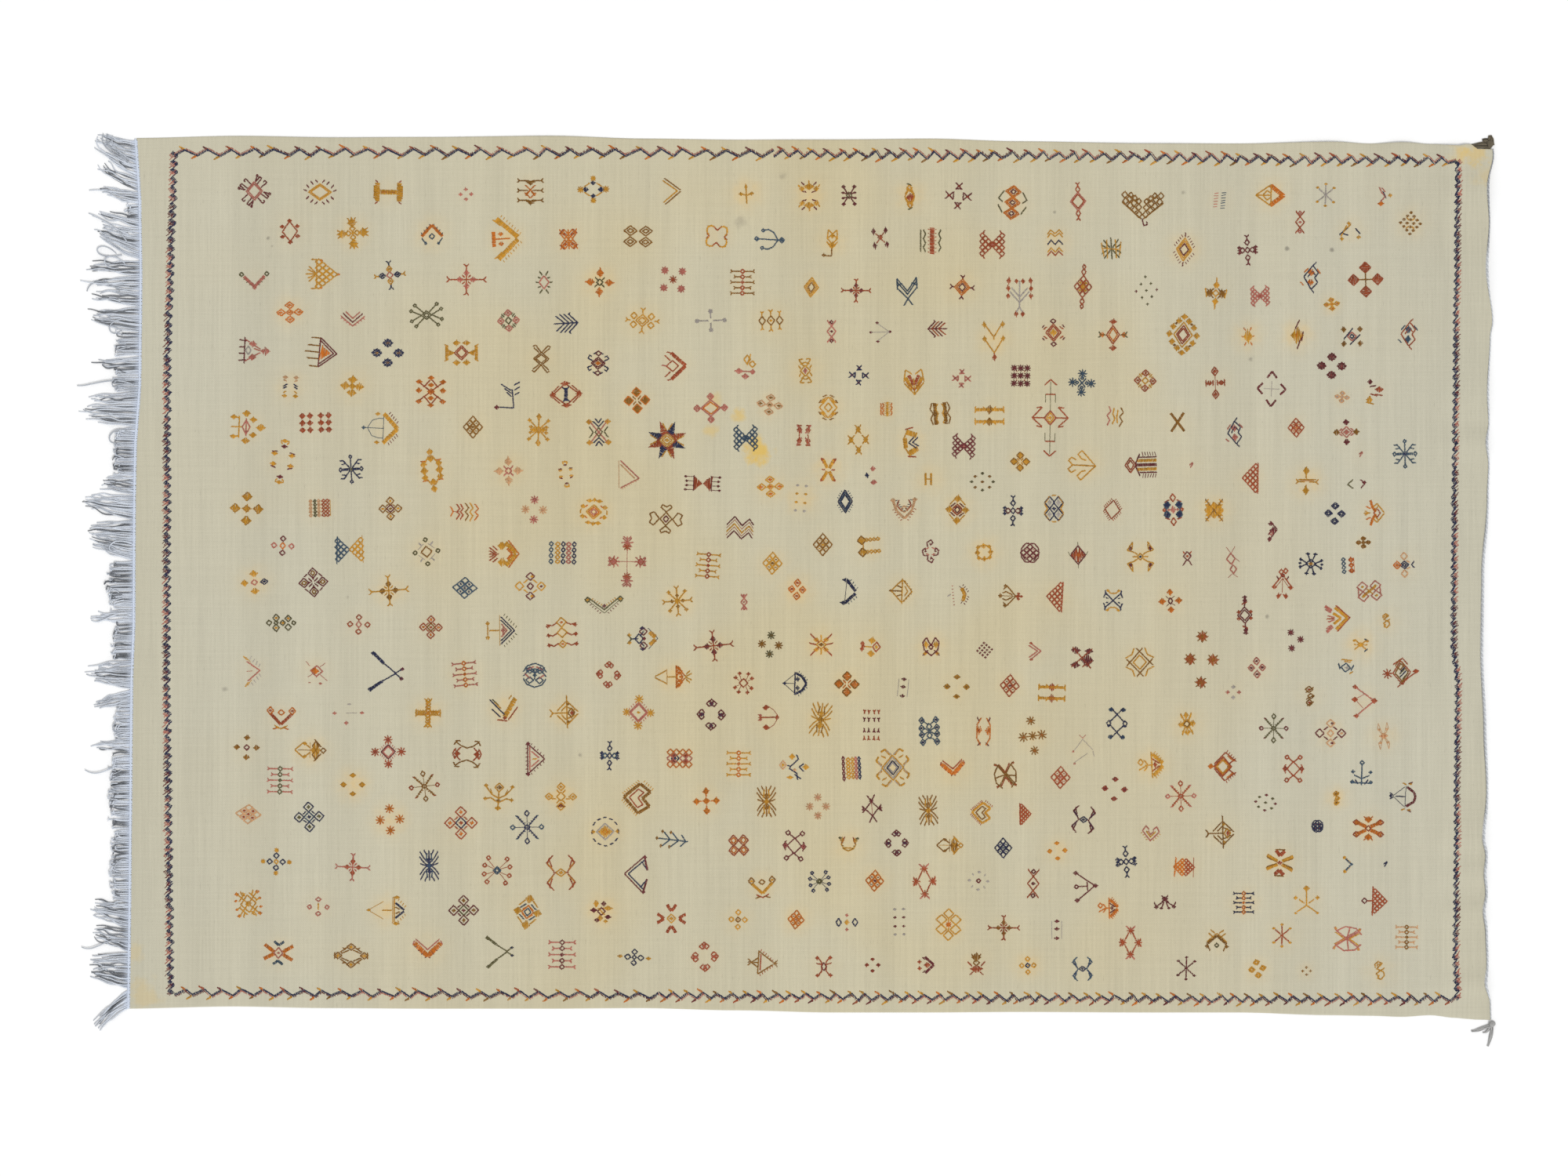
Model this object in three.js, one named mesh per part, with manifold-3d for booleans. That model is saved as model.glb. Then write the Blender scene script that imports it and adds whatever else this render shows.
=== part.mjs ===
// A flatwoven wool rug with a scattered needlepoint ground, lying flat: the cloth, the warp fringe
// along its left end, the twisted cotton cord along its right end, and the cord's two corner tassels.
// Millimetres, +Z up. +X runs along the rug to its corded end, +Y across it to its upper long edge,
// and the origin is on the underside. The tables measure from near the middle of the cloth.
import * as THREE from "three";
import { mergeVertices } from "three/addons/utils/BufferGeometryUtils.js";
import Module from "manifold-3d";

const wasm = await Module();
wasm.setup();

// Driving sizes
const clothThickness = 3;
const clothRows = 84; // steps across the cloth, which the heading and the end cord follow
const partedBy = 0.3; // clearance between neighbouring pieces
const liftFade = 130; // how far in from the corded end its ripples die out
const sideRippleFade = 90; // how far in from a long edge its ripples die out

// The long edges, from the fringed end to the corded end: how far each lies from the middle line,
// and how high it ripples off the floor.
const longEdges = [
  { along: -1250, upper: 804, lower: -789, ripple: 0 },
  { along: -1050, upper: 808, lower: -785, ripple: 0 },
  { along: -880, upper: 805, lower: -788, ripple: 1 },
  { along: -700, upper: 806, lower: -789, ripple: 0 },
  { along: -480, upper: 808, lower: -789, ripple: 1 },
  { along: -310, upper: 803, lower: -788, ripple: 0 },
  { along: -135, upper: 801, lower: -792, ripple: 0 },
  { along: 40, upper: 801, lower: -796, ripple: 1 },
  { along: 210, upper: 803, lower: -796, ripple: 0 },
  { along: 380, upper: 798, lower: -795, ripple: 0 },
  { along: 610, upper: 794, lower: -796, ripple: 2 },
  { along: 780, upper: 794, lower: -796, ripple: 0 },
  { along: 950, upper: 797, lower: -801, ripple: 4 },
  { along: 1020, upper: 794, lower: -802, ripple: 0 },
  { along: 1080, upper: 796, lower: -804, ripple: 5 },
  { along: 1130, upper: 793, lower: -801, ripple: 1 },
  { along: 1178, upper: 790, lower: -806, ripple: 6 },
  { along: 1200, upper: 794, lower: -808, ripple: 4 },
  { along: 1210, upper: 784, lower: -809, ripple: 2 },
  { along: 1260, upper: 783, lower: -810, ripple: 0 },
];

// Where the columns of the cloth's grid lie, closer together towards the corded end.
const columnStops = [-1240, -1050, -880, -700, -480, -310, -135, 40, 210, 380, 500, 610, 700, 780, 860];
columnStops.push(950, 1020, 1080, 1130, 1155, 1178, 1200, 1210, 1225, 1240);

// The fringed end, from its lower corner to its upper one.
const fringedEnd = [
  { across: -810, along: -1249 },
  { across: -560, along: -1246 },
  { across: -190, along: -1243 },
  { across: -90, along: -1239 },
  { across: 139, along: -1238 },
  { across: 247, along: -1236 },
  { across: 350, along: -1228 },
  { across: 560, along: -1226 },
  { across: 690, along: -1228 },
  { across: 810, along: -1236 },
];

// The corded end, from its lower corner to its upper one, a row for each swell and each hollow of its
// scalloped edge. The cloth rises where the edge draws in.
const cordedEnd = [
  { across: -815, along: 1242, lift: 0 },
  { across: -779, along: 1241, lift: 1 },
  { across: -742, along: 1229, lift: 8 },
  { across: -707, along: 1234, lift: 2 },
  { across: -650, along: 1232, lift: 1 },
  { across: -610, along: 1226, lift: 6 },
  { across: -578, along: 1232, lift: 1 },
  { across: -541, along: 1228, lift: 5 },
  { across: -509, along: 1232, lift: 1 },
  { across: -478, along: 1225, lift: 7 },
  { across: -392, along: 1234, lift: 0 },
  { across: -277, along: 1228, lift: 3 },
  { across: -141, along: 1222, lift: 5 },
  { across: 7, along: 1224, lift: 4 },
  { across: 145, along: 1235, lift: 1 },
  { across: 208, along: 1238, lift: 0 },
  { across: 248, along: 1231, lift: 7 },
  { across: 283, along: 1238, lift: 1 },
  { across: 335, along: 1234, lift: 6 },
  { across: 440, along: 1241, lift: 1 },
  { across: 468, along: 1245, lift: 2 },
  { across: 567, along: 1231, lift: 9 },
  { across: 650, along: 1239, lift: 2 },
  { across: 713, along: 1233, lift: 10 },
  { across: 773, along: 1246, lift: 3 },
  { across: 815, along: 1240, lift: 4 },
];

// The fringe's locks, from the lower corner to the upper one: the stretch of edge that each grows
// from, how far it reaches, how far its tip drifts sideways, and its width at the tip against the root.
const fringeLocks = [
  { from: -788, to: -753, reach: 73, drift: -46, gather: 0.6 },
  { from: -753, to: -729, reach: 86, drift: 14, gather: 0.6 },
  { from: -729, to: -686, reach: 77, drift: 3, gather: 0.7 },
  { from: -686, to: -643, reach: 80, drift: 15, gather: 0.55 },
  { from: -643, to: -593, reach: 79, drift: 12, gather: 0.55 },
  { from: -593, to: -460, reach: 40, drift: 0, gather: 0.95 },
  { from: -460, to: -320, reach: 43, drift: 0, gather: 0.95 },
  { from: -320, to: -298, reach: 83, drift: 2, gather: 0.7 },
  { from: -298, to: -234, reach: 36, drift: 0, gather: 0.95 },
  { from: -234, to: -205, reach: 80, drift: -11, gather: 0.6 },
  { from: -205, to: -151, reach: 92, drift: 2, gather: 0.6 },
  { from: -151, to: -85, reach: 43, drift: 0, gather: 0.95 },
  { from: -85, to: -62, reach: 90, drift: 2, gather: 0.7 },
  { from: -62, to: 30, reach: 54, drift: 0, gather: 0.9 },
  { from: 30, to: 105, reach: 95, drift: 10, gather: 0.55 },
  { from: 105, to: 151, reach: 108, drift: 12, gather: 0.5 },
  { from: 151, to: 185, reach: 72, drift: 7, gather: 0.6 },
  { from: 185, to: 275, reach: 45, drift: 0, gather: 0.9 },
  { from: 275, to: 340, reach: 110, drift: 2, gather: 0.75 },
  { from: 340, to: 383, reach: 56, drift: 0, gather: 0.85 },
  { from: 383, to: 405, reach: 92, drift: -1, gather: 0.6 },
  { from: 405, to: 448, reach: 52, drift: 0, gather: 0.85 },
  { from: 448, to: 495, reach: 105, drift: 8, gather: 0.5 },
  { from: 495, to: 524, reach: 100, drift: 6, gather: 0.6 },
  { from: 524, to: 552, reach: 102, drift: 2, gather: 0.6 },
  { from: 552, to: 580, reach: 115, drift: 3, gather: 0.55 },
  { from: 580, to: 639, reach: 93, drift: 24, gather: 0.5 },
  { from: 639, to: 660, reach: 89, drift: 15, gather: 0.6 },
  { from: 660, to: 682, reach: 28, drift: 0, gather: 0.9 },
  { from: 682, to: 705, reach: 86, drift: 16, gather: 0.6 },
  { from: 705, to: 731, reach: 86, drift: 32, gather: 0.6 },
  { from: 731, to: 766, reach: 70, drift: 28, gather: 0.6 },
  { from: 766, to: 800, reach: 85, drift: 22, gather: 0.55 },
];
const strandPitch = 9.2;
const strand = { rootWidth: 4.4, tipWidth: 2.4, steps: 3 };
const heading = { width: 7, height: 2.4, lower: -790, upper: 803, partedBy: 0.6 };

// The cord along the corded end, and what hangs at its two ends.
const cord = { radius: 2.6, sides: 6, standoff: 0.4 };
const knot = { radius: 6, height: 7, sides: 10 };
const lowerTails = [
  { name: "long", points: [[1243, -818], [1246, -831], [1241, -843], [1237, -858]], width: 7 },
  { name: "side", points: [[1243, -819], [1233, -823], [1220, -828], [1207, -830]], width: 8 },
  { name: "curl", points: [[1242, -820], [1238, -828], [1233, -833], [1228, -833]], width: 3.4 },
];
const upperTails = [
  { name: "crown", points: [[1240, 793], [1242, 799], [1242, 804], [1242, 809]], width: 9 },
  { name: "side", points: [[1241, 793], [1231, 793], [1220, 792], [1209, 791]], width: 7 },
];
const tail = { tipShare: 0.45, height: 4.4, steps: 5 };

const undyedWool = { color: 0xc8c1a6, roughness: 0.95, metalness: 0 };
const greyCotton = { color: 0xb5babf, roughness: 0.9, metalness: 0 };

// The value of a column at a place along a table, eased from row to row without overshoot, or drawn
// straight between them.
function readTable(rows, place, at, column, eased = true) {
  const last = rows.length - 1;
  if (at <= rows[0][place]) return rows[0][column];
  if (at >= rows[last][place]) return rows[last][column];
  const next = rows.findIndex((row) => row[place] > at);
  const [a, b] = [rows[next - 1], rows[next]];
  const share = (at - a[place]) / (b[place] - a[place]);
  const blend = eased ? THREE.MathUtils.smoothstep(share, 0, 1) : share;
  return THREE.MathUtils.lerp(a[column], b[column], blend);
}

const fringedEdge = (across) => readTable(fringedEnd, "across", across, "along", false);
const cordedEdge = (across) => readTable(cordedEnd, "across", across, "along");

// The place across the cloth of one of its rows, at a distance along it.
function rowAcross(along, row) {
  const lower = readTable(longEdges, "along", along, "lower");
  const upper = readTable(longEdges, "along", along, "upper");
  return THREE.MathUtils.lerp(lower, upper, row / clothRows);
}

// How high the underside stands off the floor: ripples along the corded end and the long edges.
function liftAt(along, across) {
  const fromEnd = cordedEdge(across) - along;
  const endShare = THREE.MathUtils.smoothstep(1 - fromEnd / liftFade, 0, 1);
  const fromUpper = readTable(longEdges, "along", along, "upper") - across;
  const sideShare = THREE.MathUtils.smoothstep(1 - fromUpper / sideRippleFade, 0, 1);
  const endLift = readTable(cordedEnd, "across", across, "lift") * endShare;
  const sideLift = readTable(longEdges, "along", along, "ripple") * sideShare;
  return Math.max(endLift, sideLift);
}

function meshOf(name, geometry, finish) {
  const mesh = new THREE.Mesh(geometry, new THREE.MeshStandardMaterial(finish));
  mesh.name = name;
  return mesh;
}

function solidOf(geometry) {
  const bare = geometry.clone();
  bare.deleteAttribute("normal");
  bare.deleteAttribute("uv");
  const merged = mergeVertices(bare, 1e-3);
  return new wasm.Manifold(
    new wasm.Mesh({
      numProp: 3,
      vertProperties: merged.attributes.position.array,
      triVerts: new Uint32Array(merged.index.array),
    }),
  );
}

function geometryOf(solid) {
  const { vertProperties, triVerts } = solid.getMesh();
  return new THREE.BufferGeometry()
    .setAttribute("position", new THREE.BufferAttribute(vertProperties, 3))
    .setIndex(new THREE.BufferAttribute(triVerts, 1));
}

// The cloth is a thin box, its grid drawn out to the four edges and lifted with their ripples.
function makeCloth() {
  const last = columnStops.length - 1;
  const box = new THREE.BoxGeometry(1, 1, 1, last, clothRows, 1);
  const place = box.attributes.position;
  for (let i = 0; i < place.count; i++) {
    const stop = columnStops[Math.round((place.getX(i) + 0.5) * last)];
    const row = Math.round((place.getY(i) + 0.5) * clothRows);
    const across = rowAcross(stop, row);
    const share = (stop - columnStops[0]) / (columnStops[last] - columnStops[0]);
    const along = THREE.MathUtils.lerp(fringedEdge(across), cordedEdge(across), share);
    const top = place.getZ(i) > 0 ? clothThickness : 0;
    place.setXYZ(i, along, across, liftAt(along, across) + top);
  }
  return meshOf("cloth", box, undyedWool);
}

// A flat strip between two sides given as lists of points, raised to a height.
function ribbon(left, right, height) {
  const outline = new THREE.Shape([...left, ...right.reverse()]);
  return new THREE.ExtrudeGeometry(outline, { depth: height, bevelEnabled: false });
}

// A flat plate made of four-cornered cells that share their edges. Each cell has a top and a bottom,
// and an edge that no other cell shares gets a wall.
function plateOf(cells, height) {
  const walls = new Map();
  const corners = [];
  const nameOf = (point) => `${point.x.toFixed(4)} ${point.y.toFixed(4)}`;
  for (const [a, b, c, d] of cells) {
    for (const [p, q] of [[a, b], [b, c], [c, d], [d, a]]) {
      const shared = `${nameOf(q)} ${nameOf(p)}`;
      if (!walls.delete(shared)) walls.set(`${nameOf(p)} ${nameOf(q)}`, [p, q]);
    }
    for (const point of [a, b, c, a, c, d]) corners.push(point.x, point.y, height);
    for (const point of [a, c, b, a, d, c]) corners.push(point.x, point.y, 0);
  }
  for (const [p, q] of walls.values()) {
    corners.push(p.x, p.y, 0, q.x, q.y, 0, q.x, q.y, height);
    corners.push(p.x, p.y, 0, q.x, q.y, height, p.x, p.y, height);
  }
  return new THREE.BufferGeometry().setAttribute(
    "position",
    new THREE.Float32BufferAttribute(corners, 3),
  );
}

// The cells of one strand in plan. It leaves the heading straight, eases over to its tip and thins out.
function strandCells(lock, root) {
  const centre = (lock.from + lock.to) / 2;
  const outward = (root - centre) / (lock.to - lock.from);
  const tip = centre + lock.drift + (root - centre) * lock.gather;
  const reach = lock.reach * (1 - 0.14 * Math.abs(Math.sin(root * 0.37)) - 0.2 * Math.abs(outward));
  const half = strand.rootWidth / 2;
  let [lower, upper] = [headingSide(root - half), headingSide(root + half)];
  const cells = [];
  for (let i = 1; i <= strand.steps; i++) {
    const t = i / strand.steps;
    const along = headingSide(root).x - t * (reach - heading.width);
    const across = THREE.MathUtils.lerp(root, tip, t ** 1.4);
    const width = THREE.MathUtils.lerp(strand.rootWidth, strand.tipWidth, t);
    const nextLower = new THREE.Vector2(along, across - width / 2);
    const nextUpper = new THREE.Vector2(along, across + width / 2);
    cells.push([lower, upper, nextUpper, nextLower]);
    [lower, upper] = [nextLower, nextUpper];
  }
  return cells;
}

// Points on the two long sides of the heading, the strip of twined warps beside the cloth's end.
const clothSide = (across) => new THREE.Vector2(fringedEdge(across) - heading.partedBy, across);
const headingSide = (across) => clothSide(across).setX(clothSide(across).x - heading.width);

// The heading and the strands that grow from it, all resting on the floor.
function makeFringe() {
  const roots = [];
  const cells = [];
  for (const lock of fringeLocks) {
    const count = Math.max(2, Math.round((lock.to - lock.from) / strandPitch));
    for (let i = 0; i < count; i++) {
      const root = THREE.MathUtils.lerp(lock.from, lock.to, (i + 0.5) / count);
      cells.push(...strandCells(lock, root));
      roots.push(root);
    }
  }
  const half = strand.rootWidth / 2;
  const stops = [heading.lower, ...roots.flatMap((root) => [root - half, root + half]), heading.upper];
  for (let i = 1; i < stops.length; i++) {
    const [low, high] = [stops[i - 1], stops[i]];
    cells.push([clothSide(low), clothSide(high), headingSide(high), headingSide(low)]);
  }
  return meshOf("fringe", plateOf(cells, heading.height), greyCotton);
}

// The cord follows the scalloped edge and rises with it.
function makeEndCord() {
  const route = [];
  for (let row = 0; row <= clothRows; row++) {
    const across = rowAcross(columnStops[columnStops.length - 1], row);
    const along = cordedEdge(across) + partedBy + cord.radius + cord.standoff;
    const lift = readTable(cordedEnd, "across", across, "lift");
    route.push(new THREE.Vector3(along, across, cord.radius + lift));
  }
  const section = new THREE.Shape();
  section.absarc(0, 0, cord.radius, 0, 2 * Math.PI);
  const path = new THREE.CatmullRomCurve3(route);
  const tube = new THREE.ExtrudeGeometry(section, {
    steps: clothRows,
    curveSegments: cord.sides / 2,
    extrudePath: path,
  });
  return meshOf("end_cord", tube, greyCotton);
}

// A tail lies flat on the floor along its points, tapering to its tip.
function makeTail({ points, width }) {
  const line = new THREE.SplineCurve(points.map(([x, y]) => new THREE.Vector2(x, y)));
  const leftSide = [];
  const rightSide = [];
  for (let i = 0; i <= tail.steps; i++) {
    const t = i / tail.steps;
    const middle = line.getPoint(t);
    const aside = line.getTangent(t).rotateAround(new THREE.Vector2(), Math.PI / 2);
    const half = (width / 2) * THREE.MathUtils.lerp(1, tail.tipShare, t);
    leftSide.push(middle.clone().addScaledVector(aside, half));
    rightSide.push(middle.clone().addScaledVector(aside, -half));
  }
  return ribbon(rightSide, leftSide, tail.height);
}

// A tassel is a knot, drawn as a low dome, with its tails fused into it.
function makeTassel(name, centre, tails) {
  const profile = [
    new THREE.Vector2(0, 0),
    new THREE.Vector2(knot.radius * 0.8, 0),
    new THREE.Vector2(knot.radius, knot.height * 0.4),
    new THREE.Vector2(knot.radius * 0.7, knot.height * 0.85),
    new THREE.Vector2(0, knot.height),
  ];
  const head = new THREE.LatheGeometry(profile, knot.sides);
  head.rotateX(Math.PI / 2).translate(centre[0], centre[1], 0);
  const pieces = [head, ...tails.map(makeTail)].map(solidOf);
  return meshOf(name, geometryOf(wasm.Manifold.union(pieces)), greyCotton);
}

const rug = new THREE.Group();
rug.add(makeCloth(), makeFringe(), makeEndCord());
rug.add(makeTassel("lower_tassel", [1244.4, -816.6], lowerTails));
rug.add(makeTassel("upper_tassel", [1241, 793], upperTails));

// The origin goes below the middle of the whole rug, its fringe and tassels counted.
const middle = new THREE.Box3().setFromObject(rug).getCenter(new THREE.Vector3());
for (const piece of rug.children) {
  piece.geometry.translate(-middle.x, -middle.y, 0);
}

export default rug;
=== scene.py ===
# A flatwoven wool rug laid out flat, seen from straight above: cream weft-faced cloth with scattered
# needlepoint motifs, a zigzag border line, a cotton warp fringe at its left end and a twisted cord at
# its scalloped right end. Sizes are in millimetres and are turned into metres as each mesh is made.
import math

import bpy
import numpy as np
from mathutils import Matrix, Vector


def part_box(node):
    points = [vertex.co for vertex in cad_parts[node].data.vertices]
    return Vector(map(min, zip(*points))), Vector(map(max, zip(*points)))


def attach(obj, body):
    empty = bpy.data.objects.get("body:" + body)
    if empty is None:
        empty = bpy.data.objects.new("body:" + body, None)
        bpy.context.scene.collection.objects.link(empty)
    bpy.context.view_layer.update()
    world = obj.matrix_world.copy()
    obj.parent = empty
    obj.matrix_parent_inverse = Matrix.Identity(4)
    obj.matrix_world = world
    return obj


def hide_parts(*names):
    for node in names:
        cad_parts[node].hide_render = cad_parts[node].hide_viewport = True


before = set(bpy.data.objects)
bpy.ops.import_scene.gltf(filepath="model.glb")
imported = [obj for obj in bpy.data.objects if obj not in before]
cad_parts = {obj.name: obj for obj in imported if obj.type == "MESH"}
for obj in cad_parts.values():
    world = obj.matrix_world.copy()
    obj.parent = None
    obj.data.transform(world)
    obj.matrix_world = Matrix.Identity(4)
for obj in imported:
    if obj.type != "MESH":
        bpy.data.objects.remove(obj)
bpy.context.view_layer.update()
mm = 0.001
rng = np.random.default_rng(1624)

# The camera hangs straight above, a little to the left of the rug's middle
cameraSetup = {"centre": (-5, 3), "width": 2870, "lens": 70, "sensor": 36}
cameraData = bpy.data.cameras.new("overhead")
cameraData.lens, cameraData.sensor_width = cameraSetup["lens"], cameraSetup["sensor"]
cameraHeight = cameraSetup["width"] * mm * cameraSetup["lens"] / cameraSetup["sensor"]
camera = bpy.data.objects.new("overhead", cameraData)
camera.location = (cameraSetup["centre"][0] * mm, cameraSetup["centre"][1] * mm, cameraHeight)
bpy.context.collection.objects.link(camera)
bpy.context.scene.camera = camera
print("camera at", [round(value, 3) for value in camera.location])


# The cloth's outline, as the part's source gives it: the two long edges with their ripples, the
# fringed end, and the corded end with a row for each swell and hollow of its scalloped edge.
longEdges = {
    "along": [-1250, -1050, -880, -700, -480, -310, -135, 40, 210, 380,
              610, 780, 950, 1020, 1080, 1130, 1178, 1200, 1210, 1260],
    "upper": [804, 808, 805, 806, 808, 803, 801, 801, 803, 798,
              794, 794, 797, 794, 796, 793, 790, 794, 784, 783],
    "lower": [-789, -785, -788, -789, -789, -788, -792, -796, -796, -795,
              -796, -796, -801, -802, -804, -801, -806, -808, -809, -810],
    "ripple": [0, 0, 1, 0, 1, 0, 0, 1, 0, 0, 2, 0, 4, 0, 5, 1, 6, 4, 2, 0],
}
fringedEnd = {
    "across": [-810, -560, -190, -90, 139, 247, 350, 560, 690, 810],
    "along": [-1249, -1246, -1243, -1239, -1238, -1236, -1228, -1226, -1228, -1236],
}
cordedEnd = {
    "across": [-815, -779, -742, -707, -650, -610, -578, -541, -509, -478, -392, -277, -141,
               7, 145, 208, 248, 283, 335, 440, 468, 567, 650, 713, 773, 815],
    "along": [1242, 1241, 1229, 1234, 1232, 1226, 1232, 1228, 1232, 1225, 1234, 1228, 1222,
              1224, 1235, 1238, 1231, 1238, 1234, 1241, 1245, 1231, 1239, 1233, 1246, 1240],
    "lift": [0, 1, 8, 2, 1, 6, 1, 5, 1, 7, 0, 3, 5, 4, 1, 0, 7, 1, 6, 1, 2, 9, 2, 10, 3, 4],
}
cloth = {
    "start": -1240, "length": 2480, "width": 1596, "thickness": 2.6,
    "columns": 236, "rows": 152,         # steps along and across
    "rim": [0, 0.5, 1.4, 3.2, 6.5],      # closer steps beside each edge, where the cloth rounds over
    "rounding": 2.2,                     # how far in from an edge the cloth has its full thickness
    "liftFade": 130, "rippleFade": 90,   # how far in the end's and the long edges' ripples die out
    "undulation": 0.35, "middle": 0.42,  # slow waves, and where the rounded rim has its widest point
}
# The main creases, each a soft ridge from one place to another
creases = {
    "from": [(-872, -43), (882, 3), (-110, -4), (320, 8), (-500, 380), (960, -420), (1040, 330)],
    "to": [(-799, -41), (1097, 0), (300, -10), (668, -6), (-485, 560), (985, -610), (1060, 520)],
    "height": [1.1, 1.3, 0.8, 0.8, 0.5, 0.7, 0.7],
    "width": [7, 9, 12, 12, 16, 14, 16],
}


def smooth(share):
    share = np.clip(share, 0, 1)
    return share * share * (3 - 2 * share)


# The value of a column at places along a table, eased from row to row or drawn straight
def readTable(table, place, at, column, eased=True):
    stops, values = np.array(table[place], float), np.array(table[column], float)
    at = np.clip(at, stops[0], stops[-1])
    following = np.clip(np.searchsorted(stops, at, side="right"), 1, len(stops) - 1)
    share = (at - stops[following - 1]) / (stops[following] - stops[following - 1])
    share = smooth(share) if eased else share
    return values[following - 1] + share * (values[following] - values[following - 1])


def fringedEdge(across):
    return readTable(fringedEnd, "across", across, "along", eased=False)


def cordedEdge(across):
    return readTable(cordedEnd, "across", across, "along")


# A place on the cloth from two shares: the first runs from the fringed end to the corded one, the
# second from the lower long edge to the upper one. Both edges follow the tables.
def clothPlace(alongShare, acrossShare):
    stop = cloth["start"] + cloth["length"] * alongShare
    lower = readTable(longEdges, "along", stop, "lower")
    upper = readTable(longEdges, "along", stop, "upper")
    across = lower + (upper - lower) * acrossShare
    along = fringedEdge(across) + (cordedEdge(across) - fringedEdge(across)) * alongShare
    return along, across


# How far a place lies from the nearest of a crease's points: the length of what is left after the
# part along the crease is taken away.
def creaseHeight(along, across):
    height = np.zeros_like(along)
    for start, end, rise, width in zip(*(creases[key] for key in ("from", "to", "height", "width"))):
        start, run = np.array(start, float), np.array(end, float) - start
        share = ((along - start[0]) * run[0] + (across - start[1]) * run[1]) / (run @ run)
        share = np.clip(share, 0, 1)
        away = np.hypot(along - start[0] - share * run[0], across - start[1] - share * run[1])
        ends = np.sin(np.pi * np.clip(share, 0.08, 0.92))
        height += rise * ends * np.exp(-((away / width) ** 2))
    return height


# Height of the cloth's underside: the larger of the end's ripples and the long edge's, each fading
# inwards, and creases on top of that.
def undersideAt(along, across):
    endShare = smooth(1 - (cordedEdge(across) - along) / cloth["liftFade"])
    fromUpper = readTable(longEdges, "along", along, "upper") - across
    sideShare = smooth(1 - fromUpper / cloth["rippleFade"])
    endLift = readTable(cordedEnd, "across", across, "lift") * endShare
    sideLift = readTable(longEdges, "along", along, "ripple") * sideShare
    return np.maximum(endLift, sideLift) + creaseHeight(along, across)


# Height of the cloth's face: the underside, the thickness and a few crossing slow waves
def faceAt(along, across):
    waves = np.sin(along / 61 + 1.7 * np.sin(across / 143)) * np.sin(across / 47 + along / 390)
    waves = waves + 0.6 * np.sin(along / 23 + across / 31) * np.sin(across / 170)
    return undersideAt(along, across) + cloth["thickness"] + cloth["undulation"] * waves


# The tables measure from near the cloth's middle, and the frame from below the whole rug's middle
acrossRange = [min(longEdges["lower"][:-1]), max(longEdges["upper"])]
endShares = np.linspace(0, 1, 85)  # the rows of the part's own cloth
fringedPlaces = clothPlace(np.zeros(85), endShares)[0]
cordedPlaces = clothPlace(np.ones(85), endShares)[0]
clothLow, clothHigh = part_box("cloth")
frameShift = np.array([
    (clothLow[0] + clothHigh[0]) / 2 / mm - (fringedPlaces.min() + cordedPlaces.max()) / 2,
    (clothLow[1] + clothHigh[1]) / 2 / mm - (acrossRange[0] + acrossRange[1]) / 2,
])
print("the frame lies", [round(float(value), 1) for value in frameShift], "mm from the tables' middle")


def inFrame(points):
    return (points + np.array([frameShift[0], frameShift[1], 0])) * mm


# A new finish: the material, its node tree and the shader in it
def finishSteps(name):
    finish = bpy.data.materials.new(name)
    finish.use_nodes = True
    return finish, finish.node_tree, finish.node_tree.nodes["Principled BSDF"]


# A mesh piece from points and faces, on the rug's one body
def addPiece(name, points, faces, finish, replaced=()):
    mesh = bpy.data.meshes.new(name)
    faces = np.asarray(faces)
    mesh.vertices.add(len(points))
    mesh.vertices.foreach_set("co", inFrame(points).astype(np.float32).ravel())
    mesh.loops.add(faces.size)
    mesh.loops.foreach_set("vertex_index", faces.astype(np.int32).ravel())
    mesh.polygons.add(len(faces))
    mesh.polygons.foreach_set("loop_start", np.arange(0, faces.size, faces.shape[1], dtype=np.int32))
    mesh.update(calc_edges=True)
    mesh.validate()
    mesh.polygons.foreach_set("use_smooth", np.ones(len(mesh.polygons), bool))
    mesh.materials.append(finish)
    piece = bpy.data.objects.new(name, mesh)
    bpy.context.collection.objects.link(piece)
    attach(piece, "root")
    if replaced:
        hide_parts(*replaced)
    return piece


def addTone(piece, name, values):
    tone = piece.data.attributes.new(name, "FLOAT", "POINT")
    tone.data.foreach_set("value", np.asarray(values, np.float32))


# Short words for the node trees below
def addNode(tree, kind, inputs=(), **settings):
    node = tree.nodes.new(kind)
    for key, value in settings.items():
        setattr(node, key, value)
    for key, value in dict(inputs).items():
        if isinstance(value, bpy.types.NodeSocket):
            tree.links.new(value, node.inputs[key])
        else:
            node.inputs[key].default_value = value
    return node


def stretched(tree, coordinates, scale):
    return addNode(tree, "ShaderNodeMapping", {"Vector": coordinates, "Scale": scale}).outputs[0]


def cloudy(tree, coordinates, scale, detail=3, roughness=0.55):
    node = addNode(tree, "ShaderNodeTexNoise", {"Vector": coordinates, "Scale": scale,
                                                "Detail": detail, "Roughness": roughness})
    return node.outputs["Fac"]


def ranged(tree, value, low, high, outLow, outHigh, curve="SMOOTHSTEP"):
    node = addNode(tree, "ShaderNodeMapRange", {"Value": value, "From Min": low, "From Max": high,
                                                "To Min": outLow, "To Max": outHigh},
                   interpolation_type=curve)
    return node.outputs[0]


def reckoned(tree, operation, a, b=0.0):
    return addNode(tree, "ShaderNodeMath", {0: a, 1: b}, operation=operation).outputs[0]


def tinted(tree, share, base, tint, blend="MIX"):
    node = addNode(tree, "ShaderNodeMix", {0: share, 6: base, 7: tint}, data_type="RGBA",
                   blend_type=blend)
    return node.outputs[2]


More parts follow.
